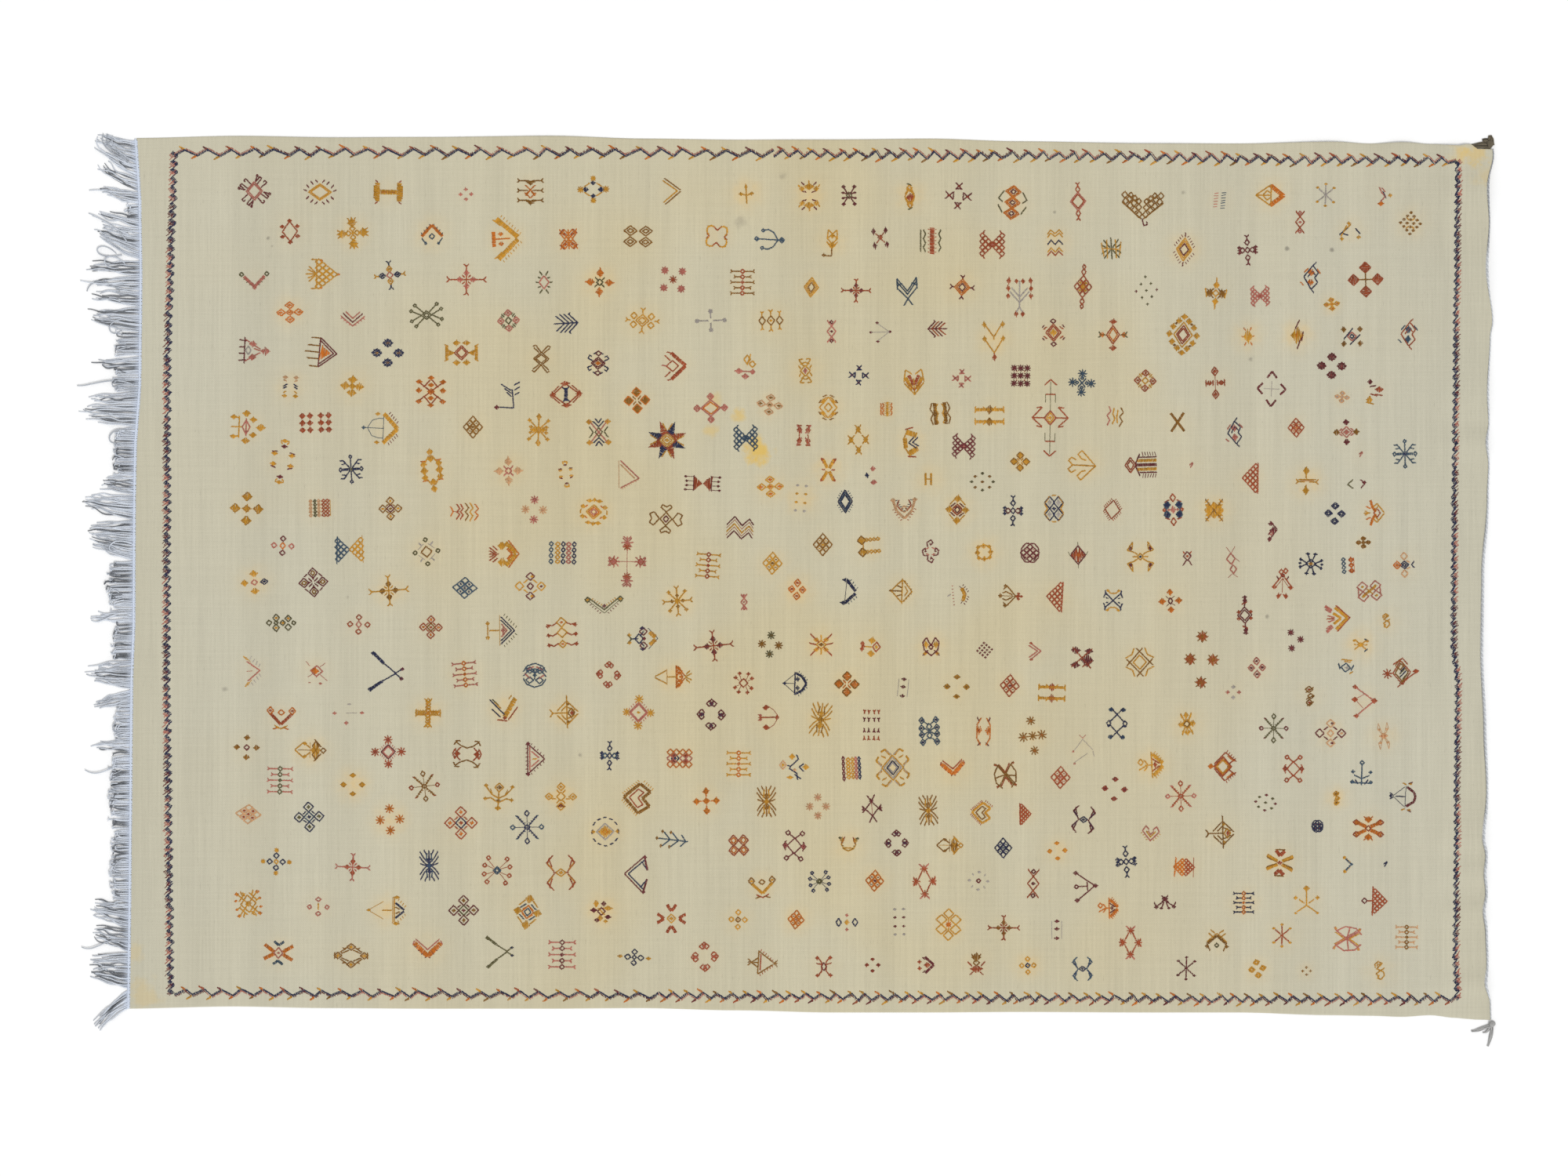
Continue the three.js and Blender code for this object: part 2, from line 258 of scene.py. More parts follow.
# Cream wool, woven with the weft packed over the warps. A weft thread runs across the rug and bows
# over every second warp: |sin| along the warps' pitch, shifted by half for each second thread, times
# |sin| across the threads' own pitch. Streaks run with the weft, as each new ball of wool differs.
weave = {
    "warpPitch": 4.0, "weftPitch": 1.7, "height": 0.35, "bump": 0.55,
    "warpWander": 2.4, "weftWander": 1.1,    # how far the threads stray from straight
    "cream": (0.501, 0.460, 0.328, 1), "warm": (0.513, 0.450, 0.290, 1),
    "cool": (0.482, 0.463, 0.368, 1), "dye": (0.62, 0.44, 0.19, 1),
    "roughness": 0.94, "sheen": 0.05, "sheenRoughness": 0.6, "specular": 0.15,
    # Each grain of the wool: its stretch, detail and roughness, the part of the noise that counts,
    # the shades at its two ends, and how one goes over to the other
    "grains": {
        "streaks": ((13, 0.35, 1), 4, 0.6, (0.36, 0.64), (0.965, 1.025), "SMOOTHSTEP"),
        "fine streaks": ((260, 5, 1), 3, 0.7, (0.3, 0.7), (0.945, 1.05), "LINEAR"),
        "ribs": ((5, 210, 1), 3, 0.7, (0.3, 0.7), (0.975, 1.02), "LINEAR"),
        "slubs": ((420, 60, 1), 2, 0.55, (0.6, 0.8), (1.0, 0.86), "SMOOTHSTEP"),
    },
}
# Marks on the cloth: where each lies, how far it reaches, how strong it is and its colour
marks = {
    "rows": [
        ((-133, 297), 17, 0.62, "ochre"), ((-184, 269), 19, 0.46, "ochre"),
        ((-101, 230), 35, 0.95, "ochre"), ((-178, 324), 20, 0.35, "ochre"),
        ((1182, 772), 28, 0.5, "ochre"), ((1216, 775), 36, 0.5, "ochre"),
        ((1229, 737), 34, 0.26, "ochre"), ((-1240, -686), 26, 0.2, "ochre"),
        ((-1222, -764), 40, 0.26, "ochre"), ((-996, 620), 6, 0.6, "grey"), ((-988, 606), 5, 0.5, "grey"),
        ((-130, 649), 16, 0.28, "grey"), ((-52, 734), 12, 0.24, "grey"), ((444, 669), 6, 0.7, "grey"),
        ((680, 705), 6, 0.5, "grey"), ((870, 602), 6, 0.6, "grey"), ((951, 599), 6, 0.6, "grey"),
        ((802, 399), 6, 0.5, "grey"), ((832, -71), 6, 0.5, "grey"), ((-1074, -204), 7, 0.35, "grey"),
        ((-424, -325), 6, 0.45, "grey"), ((-850, -37), 6, 0.5, "grey"),
    ],
    "ochre": (0.60, 0.41, 0.105, 1), "grey": (0.10, 0.085, 0.075, 1),
}


def makeWoolFinish():
    finish, tree, shader = finishSteps("cream wool flatweave")
    place = addNode(tree, "ShaderNodeTexCoord").outputs["Object"]
    axes = addNode(tree, "ShaderNodeSeparateXYZ", {0: place})
    along, across = axes.outputs[0], axes.outputs[1]

    wander = cloudy(tree, stretched(tree, place, (30, 30, 1)), 1.0, 2)
    warps = reckoned(tree, "MULTIPLY", across, math.pi / (weave["warpPitch"] * mm))
    warps = reckoned(tree, "ADD", warps, reckoned(tree, "MULTIPLY", wander, weave["warpWander"]))
    wefts = reckoned(tree, "MULTIPLY", along, 1 / (weave["weftPitch"] * mm))
    wefts = reckoned(tree, "ADD", wefts, reckoned(tree, "MULTIPLY", wander, weave["weftWander"]))
    shift = reckoned(tree, "MODULO", reckoned(tree, "FLOOR", wefts), 2.0)
    warps = reckoned(tree, "ADD", warps, reckoned(tree, "MULTIPLY", shift, math.pi / 2))
    bows = reckoned(tree, "ABSOLUTE", reckoned(tree, "SINE", warps))
    threads = reckoned(tree, "ABSOLUTE", reckoned(tree, "SINE", reckoned(tree, "MULTIPLY", wefts, math.pi)))
    woven = reckoned(tree, "MULTIPLY", reckoned(tree, "SQRT", bows), reckoned(tree, "SQRT", threads))

    # Colour: warm to cool along the rug, painted shade in the weave's dips between threads, streaks with the
    # weft, fine threads both ways
    sideways = reckoned(tree, "ABSOLUTE", along)
    broad = cloudy(tree, place, 1.9, 2)
    colour = tinted(tree, ranged(tree, broad, 0.4, 0.62, 0.0, 1.0), weave["cream"], weave["warm"])
    colour = tinted(tree, ranged(tree, sideways, 0.3, 1.2, 0.0, 0.8), colour, weave["cool"])
    # Painted shade: the weave's dips between threads are darker; the grains below are the wool's own tone
    shade = ranged(tree, woven, 0.0, 0.55, 0.80, 1.02)
    grains = {}
    for name, (stretch, detail, roughness, taken, shades, curve) in weave["grains"].items():
        grains[name] = cloudy(tree, stretched(tree, place, stretch), 1.0, detail, roughness)
        turned = ranged(tree, grains[name], *taken, *shades, curve)
        shade = reckoned(tree, "MULTIPLY", shade, turned)
    shadeColour = addNode(tree, "ShaderNodeCombineColor", {0: shade, 1: shade, 2: shade}).outputs[0]
    colour = tinted(tree, 1.0, colour, shadeColour, "MULTIPLY")

    # Dye that has run from the orange and gold wools, then the stains and dark specks
    bleed = addNode(tree, "ShaderNodeAttribute", attribute_name="dyeBleed").outputs["Fac"]
    bleed = reckoned(tree, "MULTIPLY", bleed, ranged(tree, cloudy(tree, place, 55, 2), 0.3, 0.7, 0.5, 1.2))
    colour = tinted(tree, bleed, colour, weave["dye"])
    ragged = cloudy(tree, place, 46, 4, 0.65)
    for at, reach, strength, mark in marks["rows"]:
        centre = tuple(inFrame(np.array([[at[0], at[1], 0.0]]))[0])
        away = addNode(tree, "ShaderNodeVectorMath", {0: place, 1: centre}, operation="DISTANCE").outputs[1]
        uneven = ranged(tree, ragged, 0.3, 0.7, -0.25 * reach * mm, 0.35 * reach * mm)
        away = reckoned(tree, "ADD", away, uneven)
        share = ranged(tree, away, 0.25 * reach * mm, reach * mm, strength, 0.0)
        colour = tinted(tree, share, colour, marks[mark])

    tree.links.new(colour, shader.inputs["Base Color"])
    shader.inputs["Roughness"].default_value = weave["roughness"]
    shader.inputs["Sheen Weight"].default_value = weave["sheen"]
    shader.inputs["Sheen Roughness"].default_value = weave["sheenRoughness"]
    shader.inputs["Specular IOR Level"].default_value = weave["specular"]
    height = reckoned(tree, "ADD", woven, reckoned(tree, "MULTIPLY", grains["fine streaks"], 0.5))
    bump = addNode(tree, "ShaderNodeBump", {"Strength": weave["bump"], "Distance": weave["height"] * mm,
                                            "Height": height})
    tree.links.new(bump.outputs[0], shader.inputs["Normal"])
    return finish


# Steps across a length of 1 with closer ones beside both ends
def stepsWithRims(count, length):
    rim = np.array(cloth["rim"]) / length
    middle = np.linspace(rim[-1], 1 - rim[-1], count)[1:-1]
    return np.concatenate([rim, middle, 1 - rim[::-1]])


# The cloth is two grids, its face and its underside, sewn together round the rim. Beside an edge the
# face dips by the share that a quarter circle gives, so the cloth rounds over.
def makeCloth(finish):
    alongShares = stepsWithRims(cloth["columns"], cloth["length"])
    acrossShares = stepsWithRims(cloth["rows"], cloth["width"])
    a, b = np.meshgrid(alongShares, acrossShares, indexing="ij")
    along, across = clothPlace(a, b)
    edgeAway = np.minimum(np.minimum(a, 1 - a) * cloth["length"], np.minimum(b, 1 - b) * cloth["width"])
    inner = 1 - np.clip(edgeAway / cloth["rounding"], 0, 1)
    full = np.sqrt(np.clip(1 - inner**2, 0, 1))
    underside = undersideAt(along, across)
    face = faceAt(along, across)
    middleHeight = underside + cloth["thickness"] * cloth["middle"]
    top = np.stack([along, across, middleHeight + (face - middleHeight) * full], -1).reshape(-1, 3)
    bottom = np.stack([along, across, middleHeight + (underside - middleHeight) * full - 0.02], -1)
    bottom = bottom.reshape(-1, 3)
    columns, rows = a.shape
    index = np.arange(columns * rows).reshape(columns, rows)
    cells = np.stack([index[:-1, :-1], index[1:, :-1], index[1:, 1:], index[:-1, 1:]], -1).reshape(-1, 4)
    rim = np.concatenate([index[:-1, 0], index[-1, :-1], index[:0:-1, -1], index[0, :0:-1]])
    after = np.roll(rim, -1)
    count = columns * rows
    wall = np.stack([after, rim, rim + count, after + count], -1)
    faces = np.concatenate([cells, cells[:, ::-1] + count, wall])
    piece = addPiece("cloth_sheet", np.concatenate([top, bottom]), faces, finish, ["cloth"])
    return piece, along, across


woolFinish = makeWoolFinish()
clothSheet, gridAlong, gridAcross = makeCloth(woolFinish)
print("cloth:", len(clothSheet.data.polygons), "faces")


# A yarn's finish: a twist in slanting lines with painted shade in its grooves, fuzz, and a tone of its own
# for each strand
yarn = {"roughness": 0.92, "sheen": 0.03, "specular": 0.12, "bump": 0.6, "height": 0.35}


def makeYarnFinish(name, colour, shadow, twistPitch=2.2, toneSpread=0.16, pale=None):
    finish, tree, shader = finishSteps(name)
    place = addNode(tree, "ShaderNodeTexCoord").outputs["Object"]
    tone = addNode(tree, "ShaderNodeAttribute", attribute_name="tone").outputs["Fac"]
    fuzz = cloudy(tree, place, 900, 3, 0.7)
    broad = cloudy(tree, place, 26, 2)
    axes = addNode(tree, "ShaderNodeSeparateXYZ", {0: place})
    slant = reckoned(tree, "ADD", axes.outputs[0], reckoned(tree, "MULTIPLY", axes.outputs[1], 0.8))
    twist = reckoned(tree, "MULTIPLY", slant, math.pi / (twistPitch * mm))
    twist = reckoned(tree, "ABSOLUTE", reckoned(tree, "SINE", twist))
    deep = tinted(tree, ranged(tree, fuzz, 0.35, 0.75, 0.0, 0.55), colour, shadow)
    # Painted shade: the grooves of the twist lean to the shadow colour
    deep = tinted(tree, ranged(tree, twist, 0.0, 0.45, 0.4, 0.0), deep, shadow)
    deep = tinted(tree, ranged(tree, broad, 0.45, 0.7, 0.0, 0.3), deep, shadow)
    shade = ranged(tree, tone, 0.0, 1.0, 1 - toneSpread, 1 + toneSpread, "LINEAR")
    shadeColour = addNode(tree, "ShaderNodeCombineColor", {0: shade, 1: shade, 2: shade}).outputs[0]
    deep = tinted(tree, 1.0, deep, shadeColour, "MULTIPLY")
    if pale:
        rootShare = addNode(tree, "ShaderNodeAttribute", attribute_name="pale").outputs["Fac"]
        deep = tinted(tree, rootShare, deep, pale)
    tree.links.new(deep, shader.inputs["Base Color"])
    shader.inputs["Roughness"].default_value = yarn["roughness"]
    shader.inputs["Sheen Weight"].default_value = yarn["sheen"]
    shader.inputs["Specular IOR Level"].default_value = yarn["specular"]
    height = reckoned(tree, "ADD", twist, fuzz)
    bump = addNode(tree, "ShaderNodeBump", {"Strength": yarn["bump"], "Distance": yarn["height"] * mm,
                                            "Height": height})
    tree.links.new(bump.outputs[0], shader.inputs["Normal"])
    return finish


# Tubes along many paths at once. At each step the ring stands square to the path: one axis lies
# flat beside it and the other stands up, and the two ends close on their own middle points.
def tubes(paths, radii, sides, flatten=1.0):
    count, steps = paths.shape[:2]
    tangent = np.gradient(paths, axis=1)
    tangent /= np.maximum(np.linalg.norm(tangent, axis=2, keepdims=True), 1e-9)
    beside = np.stack([-tangent[..., 1], tangent[..., 0], np.zeros((count, steps))], -1)
    beside /= np.maximum(np.linalg.norm(beside, axis=2, keepdims=True), 1e-6)
    above = np.cross(tangent, beside)
    turn = np.linspace(0, 2 * np.pi, sides, endpoint=False)
    ring = (beside[:, :, None] * np.cos(turn)[None, None, :, None]
            + above[:, :, None] * np.sin(turn)[None, None, :, None] * flatten)
    points = paths[:, :, None] + ring * radii[:, :, None, None]
    points = points.reshape(-1, 3)
    index = np.arange(count * steps * sides).reshape(count, steps, sides)
    following = np.roll(index, -1, axis=2)
    walls = np.stack([index[:, :-1], following[:, :-1], following[:, 1:], index[:, 1:]], -1).reshape(-1, 4)
    caps = np.arange(count * 2).reshape(count, 2) + len(points)
    first = np.stack([following[:, 0], index[:, 0], np.broadcast_to(caps[:, :1], index[:, 0].shape)], -1)
    last = np.stack([index[:, -1], following[:, -1], np.broadcast_to(caps[:, 1:], index[:, -1].shape)], -1)
    ends = np.stack([paths[:, 0], paths[:, -1]], 1).reshape(-1, 3)
    triangles = np.concatenate([walls[:, [0, 1, 2]], walls[:, [0, 2, 3]],
                                first.reshape(-1, 3), last.reshape(-1, 3)])
    owner = np.concatenate([np.repeat(np.arange(count), steps * sides), np.repeat(np.arange(count), 2)])
    return np.concatenate([points, ends]), triangles, owner


# The fringe's locks, as the part's source gives them: the stretch of edge that each grows from, its
# reach, how far its tip drifts sideways, and its width at the tip against the root.
fringeLocks = {
    "from": [-788, -753, -729, -686, -643, -593, -460, -320, -298, -234, -205, -151, -85, -62, 30, 105,
             151, 185, 275, 340, 383, 405, 448, 495, 524, 552, 580, 639, 660, 682, 705, 731, 766, 800],
    "reach": [73, 86, 77, 80, 79, 40, 43, 83, 36, 80, 92, 43, 90, 54, 95, 108, 72, 45, 110, 56, 92, 52,
              105, 100, 102, 115, 93, 89, 28, 86, 86, 70, 85],
    "drift": [-46, 14, 3, 15, 12, 0, 0, 2, 0, -11, 2, 0, 2, 0, 10, 12, 7, 0, 2, 0, -1, 0, 8, 6, 2, 3,
              24, 15, 0, 16, 32, 28, 22],
    "gather": [0.6, 0.6, 0.7, 0.55, 0.55, 0.95, 0.95, 0.7, 0.95, 0.6, 0.6, 0.95, 0.7, 0.9, 0.55, 0.5,
               0.6, 0.9, 0.75, 0.85, 0.6, 0.85, 0.5, 0.6, 0.6, 0.55, 0.5, 0.6, 0.9, 0.6, 0.6, 0.6, 0.55],
}
fringe = {
    "pitch": 3.3, "steps": 20, "sides": 5, "radius": 1.45, "tipRadius": 0.75,
    "loopBelow": 60,                   # a lock that reaches less far turns back in loops
    "shaded": 0.24, "paleReach": 15,   # the share of strands in shade, and how far the roots are pale
    "strayRadius": 1.35, "strayTaper": 0.5, "strayHeight": 3.2, "straySteps": 30,
    "heading": (-788, 802), "headingSteps": 900, "headingTurn": 2.1, "headingRadius": 1.5,
}
# Stray strands and loops, each drawn by the four points of a cubic curve
strays = [
    [(-1244, 704), (-1269, 702), (-1298, 711), (-1322, 708)],
    [(-1250, 628), (-1283, 640), (-1301, 660), (-1323, 666)],
    [(-1250, 610), (-1270, 642), (-1296, 655), (-1316, 662)],
    [(-1262, 590), (-1330, 575), (-1310, 630), (-1272, 592)],
    [(-1256, 574), (-1296, 610), (-1310, 560), (-1268, 566)],
    [(-1262, 540), (-1292, 534), (-1316, 538), (-1338, 543)],
    [(-1266, 524), (-1290, 548), (-1322, 545), (-1326, 523)],
    [(-1250, 760), (-1282, 778), (-1304, 788), (-1296, 812)],
    [(-1250, 764), (-1278, 780), (-1296, 790), (-1288, 811)],
    [(-1252, 768), (-1272, 782), (-1284, 792), (-1279, 808)],
    [(-1248, 756), (-1290, 774), (-1316, 784), (-1306, 806)],
    [(-1250, 742), (-1268, 762), (-1300, 776), (-1312, 786)],
    [(-1244, 472), (-1300, 480), (-1290, 430), (-1262, 452)],
    [(-1240, 352), (-1280, 372), (-1320, 348), (-1344, 351)],
    [(-1240, 262), (-1282, 290), (-1300, 240), (-1270, 246)],
    [(-1240, 60), (-1290, 84), (-1300, 34), (-1262, 52)],
    [(-1244, -70), (-1272, -52), (-1300, -92), (-1318, -78)],
    [(-1246, -262), (-1292, -250), (-1282, -300), (-1258, -280)],
    [(-1246, -350), (-1280, -334), (-1300, -372), (-1330, -352)],
    [(-1246, -520), (-1274, -498), (-1290, -560), (-1262, -540)],
    [(-1248, -668), (-1290, -650), (-1310, -690), (-1336, -676)],
]


# A strand leaves the cloth's edge straight, eases over to its lock's tip and wanders a little. In a
# short lock it turns back on itself in a loose loop, the tail coming home above the way out.
def makeFringe(finish):
    starts = np.array(fringeLocks["from"], float)
    widths = np.diff(starts)
    counts = np.maximum(2, np.round(widths / fringe["pitch"])).astype(int)
    lock = np.repeat(np.arange(len(widths)), counts)
    order = np.concatenate([(np.arange(n) + 0.5) / n for n in counts])
    root = starts[lock] + order * widths[lock] + rng.normal(0, 0.4, len(lock))
    reachOf, driftOf, gatherOf = (np.array(fringeLocks[key], float)[lock]
                                  for key in ("reach", "drift", "gather"))
    centre = starts[lock] + widths[lock] / 2
    tip = centre + driftOf + (root - centre) * gatherOf + rng.normal(0, 2.2, len(lock))
    outward = np.abs(order - 0.5)
    reach = reachOf * (1 - 0.16 * np.abs(np.sin(root * 0.37)) - 0.22 * outward)
    reach = reach * rng.uniform(0.86, 1.05, len(lock))
    looped = reachOf < fringe["loopBelow"]
    t = np.linspace(0, 1, fringe["steps"])[None]
    phase = rng.uniform(0, 2 * np.pi, (2, len(lock), 1))
    wander = rng.uniform(1.0, 3.6, (len(lock), 1))
    sway = wander * t * (np.sin(t * 7 + phase[0]) + 0.6 * np.sin(t * 13 + phase[1]))
    out = np.where(looped[:, None], 1.25 * np.sin(np.pi * t * rng.uniform(0.56, 0.86, (len(lock), 1))), t)
    out = np.clip(out, 0, 1.05)
    away = out * reach[:, None]
    side = np.where(looped[:, None], rng.normal(0, 5.5, (len(lock), 1)) * t**2, 0)
    across = root[:, None] + (tip - root)[:, None] * t**1.4 + sway + side
    along = fringedEdge(root)[:, None] + 1.5 - away + 0.5 * sway
    rise = 1.5 + np.abs(rng.normal(0, 1.1, (len(lock), 1))) * np.sin(np.pi * t)
    rise = rise + np.where(looped[:, None], 3.4 * smooth((t - 0.45) / 0.3), 0)
    paths = np.stack([along, across, rise], -1)
    radii = fringe["radius"] + (fringe["tipRadius"] - fringe["radius"]) * t**3
    radii = radii * rng.uniform(0.8, 1.2, (len(lock), 1))
    points, faces, owner = tubes(paths, radii, fringe["sides"])

    # The strays lie above the others; the curve is the sum of its four points by their cubic weights
    s = np.linspace(0, 1, fringe["straySteps"])
    weights = np.stack([(1 - s)**3, 3 * s * (1 - s)**2, 3 * s**2 * (1 - s), s**3], -1)
    curves = np.einsum("tk,nkd->ntd", weights, np.array(strays, float))
    lift = np.broadcast_to(fringe["strayHeight"] + 1.2 * np.sin(np.pi * s), curves.shape[:2])
    strayPaths = np.concatenate([curves, lift[..., None]], -1)
    strayRadii = fringe["strayRadius"] - fringe["strayTaper"] * s**3
    strayRadii = np.broadcast_to(strayRadii, curves.shape[:2])
    strayPoints, strayFaces, strayOwner = tubes(strayPaths, strayRadii, fringe["sides"])

    # The twined heading: two yarns that wind round each other along the roots
    heading = np.linspace(*fringe["heading"], fringe["headingSteps"])
    plies = []
    for ply in (0, np.pi):
        wind = heading / fringe["headingTurn"] + ply
        plies.append(np.stack([fringedEdge(heading) - 2.2 + 1.0 * np.cos(wind), heading,
                               2.3 + 0.7 * np.sin(wind)], -1))
    plyRadii = np.full((2, fringe["headingSteps"]), fringe["headingRadius"])
    plyPoints, plyFaces = tubes(np.array(plies), plyRadii, fringe["sides"])[:2]
    sets = [(points, faces), (strayPoints, strayFaces), (plyPoints, plyFaces)]
    offsets = np.cumsum([0] + [len(part[0]) for part in sets])
    allPoints = np.concatenate([part[0] for part in sets])
    allPoints[:, 2] = np.maximum(allPoints[:, 2], 0.05)
    allFaces = np.concatenate([part[1] + offset for part, offset in zip(sets, offsets)])
    # About a quarter of the strands lie in the others' shade
    shared = rng.uniform(0, 1, len(lock))
    shared = np.where(shared < fringe["shaded"], 0.4 * shared, 0.42 + 0.28 * shared)
    tone = np.concatenate([shared[owner], rng.uniform(0.3, 0.7, len(strays))[strayOwner],
                           np.full(len(plyPoints), 0.6)])
    outBy = fringedEdge(allPoints[:, 1]) - allPoints[:, 0]
    piece = addPiece("warp_fringe", allPoints, allFaces, finish, ["fringe"])
    addTone(piece, "tone", tone)
    addTone(piece, "pale", 0.9 * smooth(1 - outBy / fringe["paleReach"]))
    return piece


cottonFinish = makeYarnFinish("grey-white cotton", (0.60, 0.635, 0.69, 1), (0.14, 0.155, 0.185, 1), 2.4, 0.75,
                              (0.58, 0.64, 0.75, 1))
warpFringe = makeFringe(cottonFinish)
print("fringe:", len(warpFringe.data.polygons), "faces")


# Two plies wind round the cord's own line, which follows the scalloped end and its lift
endCord = {
    "ends": (-808, 784), "steps": 1500, "sides": 6, "pitch": 9.0,
    "radius": 2.5, "plyRadius": 1.5, "standoff": 0.5,
    "slimPly": 0.9, "hiddenFrom": 1240, "bareBelow": 11,   # it sinks in at the scallops, bare between
}


def makeEndCord(finish):
    across = np.linspace(*endCord["ends"], endCord["steps"])
    bare = smooth((endCord["hiddenFrom"] - cordedEdge(across)) / endCord["bareBelow"])
    along = cordedEdge(across) + (endCord["standoff"] + endCord["radius"]) * (0.1 + 0.9 * bare)
    height = readTable(cordedEnd, "across", across, "lift") + endCord["radius"]
    plies = []
    for ply in (0, np.pi):
        wind = across * 2 * np.pi / endCord["pitch"] + ply
        aside, above = (0.5 + 0.6 * bare) * np.cos(wind), (0.5 + 0.6 * bare) * np.sin(wind)
        plies.append(np.stack([along + aside, across, height + above], -1))
    radii = endCord["slimPly"] + (endCord["plyRadius"] - endCord["slimPly"]) * bare
    points, faces, owner = tubes(np.array(plies), np.array([radii, radii]), endCord["sides"])
    piece = addPiece("twisted_end_cord", points, faces, finish, ["end_cord"])
    # Towards the upper corner the cord's tone drops: painted shade of the lifted edge and curled corner, and
    # some soiling
    shadedAndSoiled = smooth((points[:, 1] - 580) / 40)
    addTone(piece, "tone", np.where(owner == 0, 0.38, 0.62) - 0.4 * shadedAndSoiled)
    return piece


cordFinish = makeYarnFinish("pale cord cotton", (0.62, 0.64, 0.66, 1), (0.33, 0.34, 0.36, 1), 2.0, 0.5)
knotFinish = makeYarnFinish("greyed knot cotton", (0.40, 0.40, 0.39, 1), (0.17, 0.16, 0.16, 1), 2.0)
twistedCord = makeEndCord(cordFinish)
print("end cord:", len(twistedCord.data.polygons), "faces")


# A tassel: strands laid side by side along each tail's curve, and a knot over their roots. A tail's
# curve is the cubic one drawn by its four points. The knot is a flattened ball with wound grooves.
tassels = {
    "strand": 1.25, "taper": 0.6, "sides": 6,
    "lower": {"centre": (1244.4, -816.6), "node": "lower_tassel", "radius": 5.8, "height": 7.2, "tails": [
        ([(1243, -818), (1247, -831), (1241, -843), (1237, -858)], 6, 5),
        ([(1243, -819), (1233, -822), (1220, -829), (1207, -830)], 7, 5),
        ([(1242, -820), (1238, -828), (1233, -835), (1228, -832)], 3, 3)]},
    "upper": {"centre": (1241, 793), "node": "upper_tassel", "radius": 6.2, "height": 7.6, "tails": [
        ([(1243, 791), (1243, 798), (1242, 804), (1241, 809)], 12, 8),
        ([(1244, 790), (1239, 798), (1233, 802), (1227, 800)], 9, 6),
        ([(1243, 789), (1234, 792), (1222, 791), (1205, 789)], 14, 10)]},
}


def makeTassel(name, shape, finish):
    centre = shape["centre"]
    t = np.linspace(0, 1, 18)
    bernstein = np.stack([(1 - t)**3, 3 * t * (1 - t)**2, 3 * t**2 * (1 - t), t**3], -1)
    strands = []
    for corners, width, count in shape["tails"]:
        line = bernstein @ np.array(corners, float)
        run = np.gradient(line, axis=0)
        aside = np.stack([-run[:, 1], run[:, 0]], -1) / np.linalg.norm(run, axis=1, keepdims=True)
        for i in range(count):
            spread = (i + 0.5) / count - 0.5
            swing = spread * width * (1 - 0.45 * t) + 0.5 * np.sin(t * 9 + i * 2.1)
            rise = 1.5 + (i % 2) * 1.5 * (1 - t) + 0.3 * np.sin(t * 11 + i)
            strands.append(np.column_stack([line + aside * swing[:, None], rise]))
    paths = np.array(strands)
    radii = np.broadcast_to(tassels["strand"] - tassels["taper"] * t**3, paths.shape[:2])
    points, faces, owner = tubes(paths, radii, tassels["sides"])

    around, up = np.meshgrid(np.linspace(0, 2 * np.pi, 28, endpoint=False), np.linspace(-1.45, 1.45, 14),
                             indexing="ij")
    swell = 1 + 0.09 * np.sin(3 * around + 5 * up)
    ball = np.stack([centre[0] + shape["radius"] * swell * np.cos(up) * np.cos(around),
                     centre[1] + shape["radius"] * swell * np.cos(up) * np.sin(around),
                     shape["height"] * (0.5 + 0.49 * np.sin(up) * swell / 1.1)], -1)
    index = np.arange(around.size).reshape(around.shape)
    following = np.roll(index, -1, axis=0)
    cells = np.stack([index[:, :-1], following[:, :-1], following[:, 1:], index[:, 1:]], -1).reshape(-1, 4)
    poles = np.array([[*centre, 0.05], [*centre, shape["height"]]])
    low, high = index.size, index.size + 1
    below = np.stack([following[:, 0], index[:, 0], np.full(len(index), low)], -1)
    above = np.stack([index[:, -1], following[:, -1], np.full(len(index), high)], -1)
    knotFaces = np.concatenate([cells[:, [0, 1, 2]], cells[:, [0, 2, 3]], below, above]) + len(points)
    knotPoints = np.concatenate([ball.reshape(-1, 3), poles])
    piece = addPiece(name, np.concatenate([points, knotPoints]), np.concatenate([faces, knotFaces]),
                     finish, [shape["node"]])
    addTone(piece, "tone", np.concatenate([rng.uniform(0, 1, len(paths))[owner],
                                           np.full(len(knotPoints), 0.5)]))
    return piece


# The upper tuft's dark colour is painted shade of the curled corner it lies in, together with soiling
tuftFinish = makeYarnFinish("dark cotton with painted shade and soil", (0.145, 0.122, 0.085, 1), (0.05, 0.042, 0.03, 1), 2.0, 0.5)
lowerKnot = makeTassel("lower_corner_tassel", tassels["lower"], knotFinish)
upperKnot = makeTassel("upper_corner_tassel", tassels["upper"], tuftFinish)
print("tassels made")


# The wools of the needlework: a letter for the charts, the colour and its shadow
wools = {
    "g": ("gold", (0.56, 0.29, 0.035), (0.36, 0.15, 0.015)),
    "o": ("orange", (0.56, 0.17, 0.022), (0.33, 0.075, 0.012)),
    "a": ("apricot", (0.56, 0.33, 0.17), (0.40, 0.20, 0.09)),
    "b": ("brick", (0.37, 0.085, 0.032), (0.19, 0.038, 0.018)),
    "p": ("rose", (0.47, 0.165, 0.12), (0.27, 0.075, 0.06)),
    "m": ("madder", (0.165, 0.037, 0.038), (0.075, 0.018, 0.020)),
    "n": ("navy", (0.036, 0.040, 0.085), (0.014, 0.016, 0.038)),
    "s": ("slate", (0.060, 0.095, 0.135), (0.026, 0.046, 0.07)),
    "v": ("olive", (0.125, 0.110, 0.048), (0.058, 0.050, 0.022)),
    "k": ("umber", (0.27, 0.125, 0.022), (0.125, 0.052, 0.012)),
    "l": ("faded lilac", (0.38, 0.34, 0.30), (0.28, 0.245, 0.23)),
}
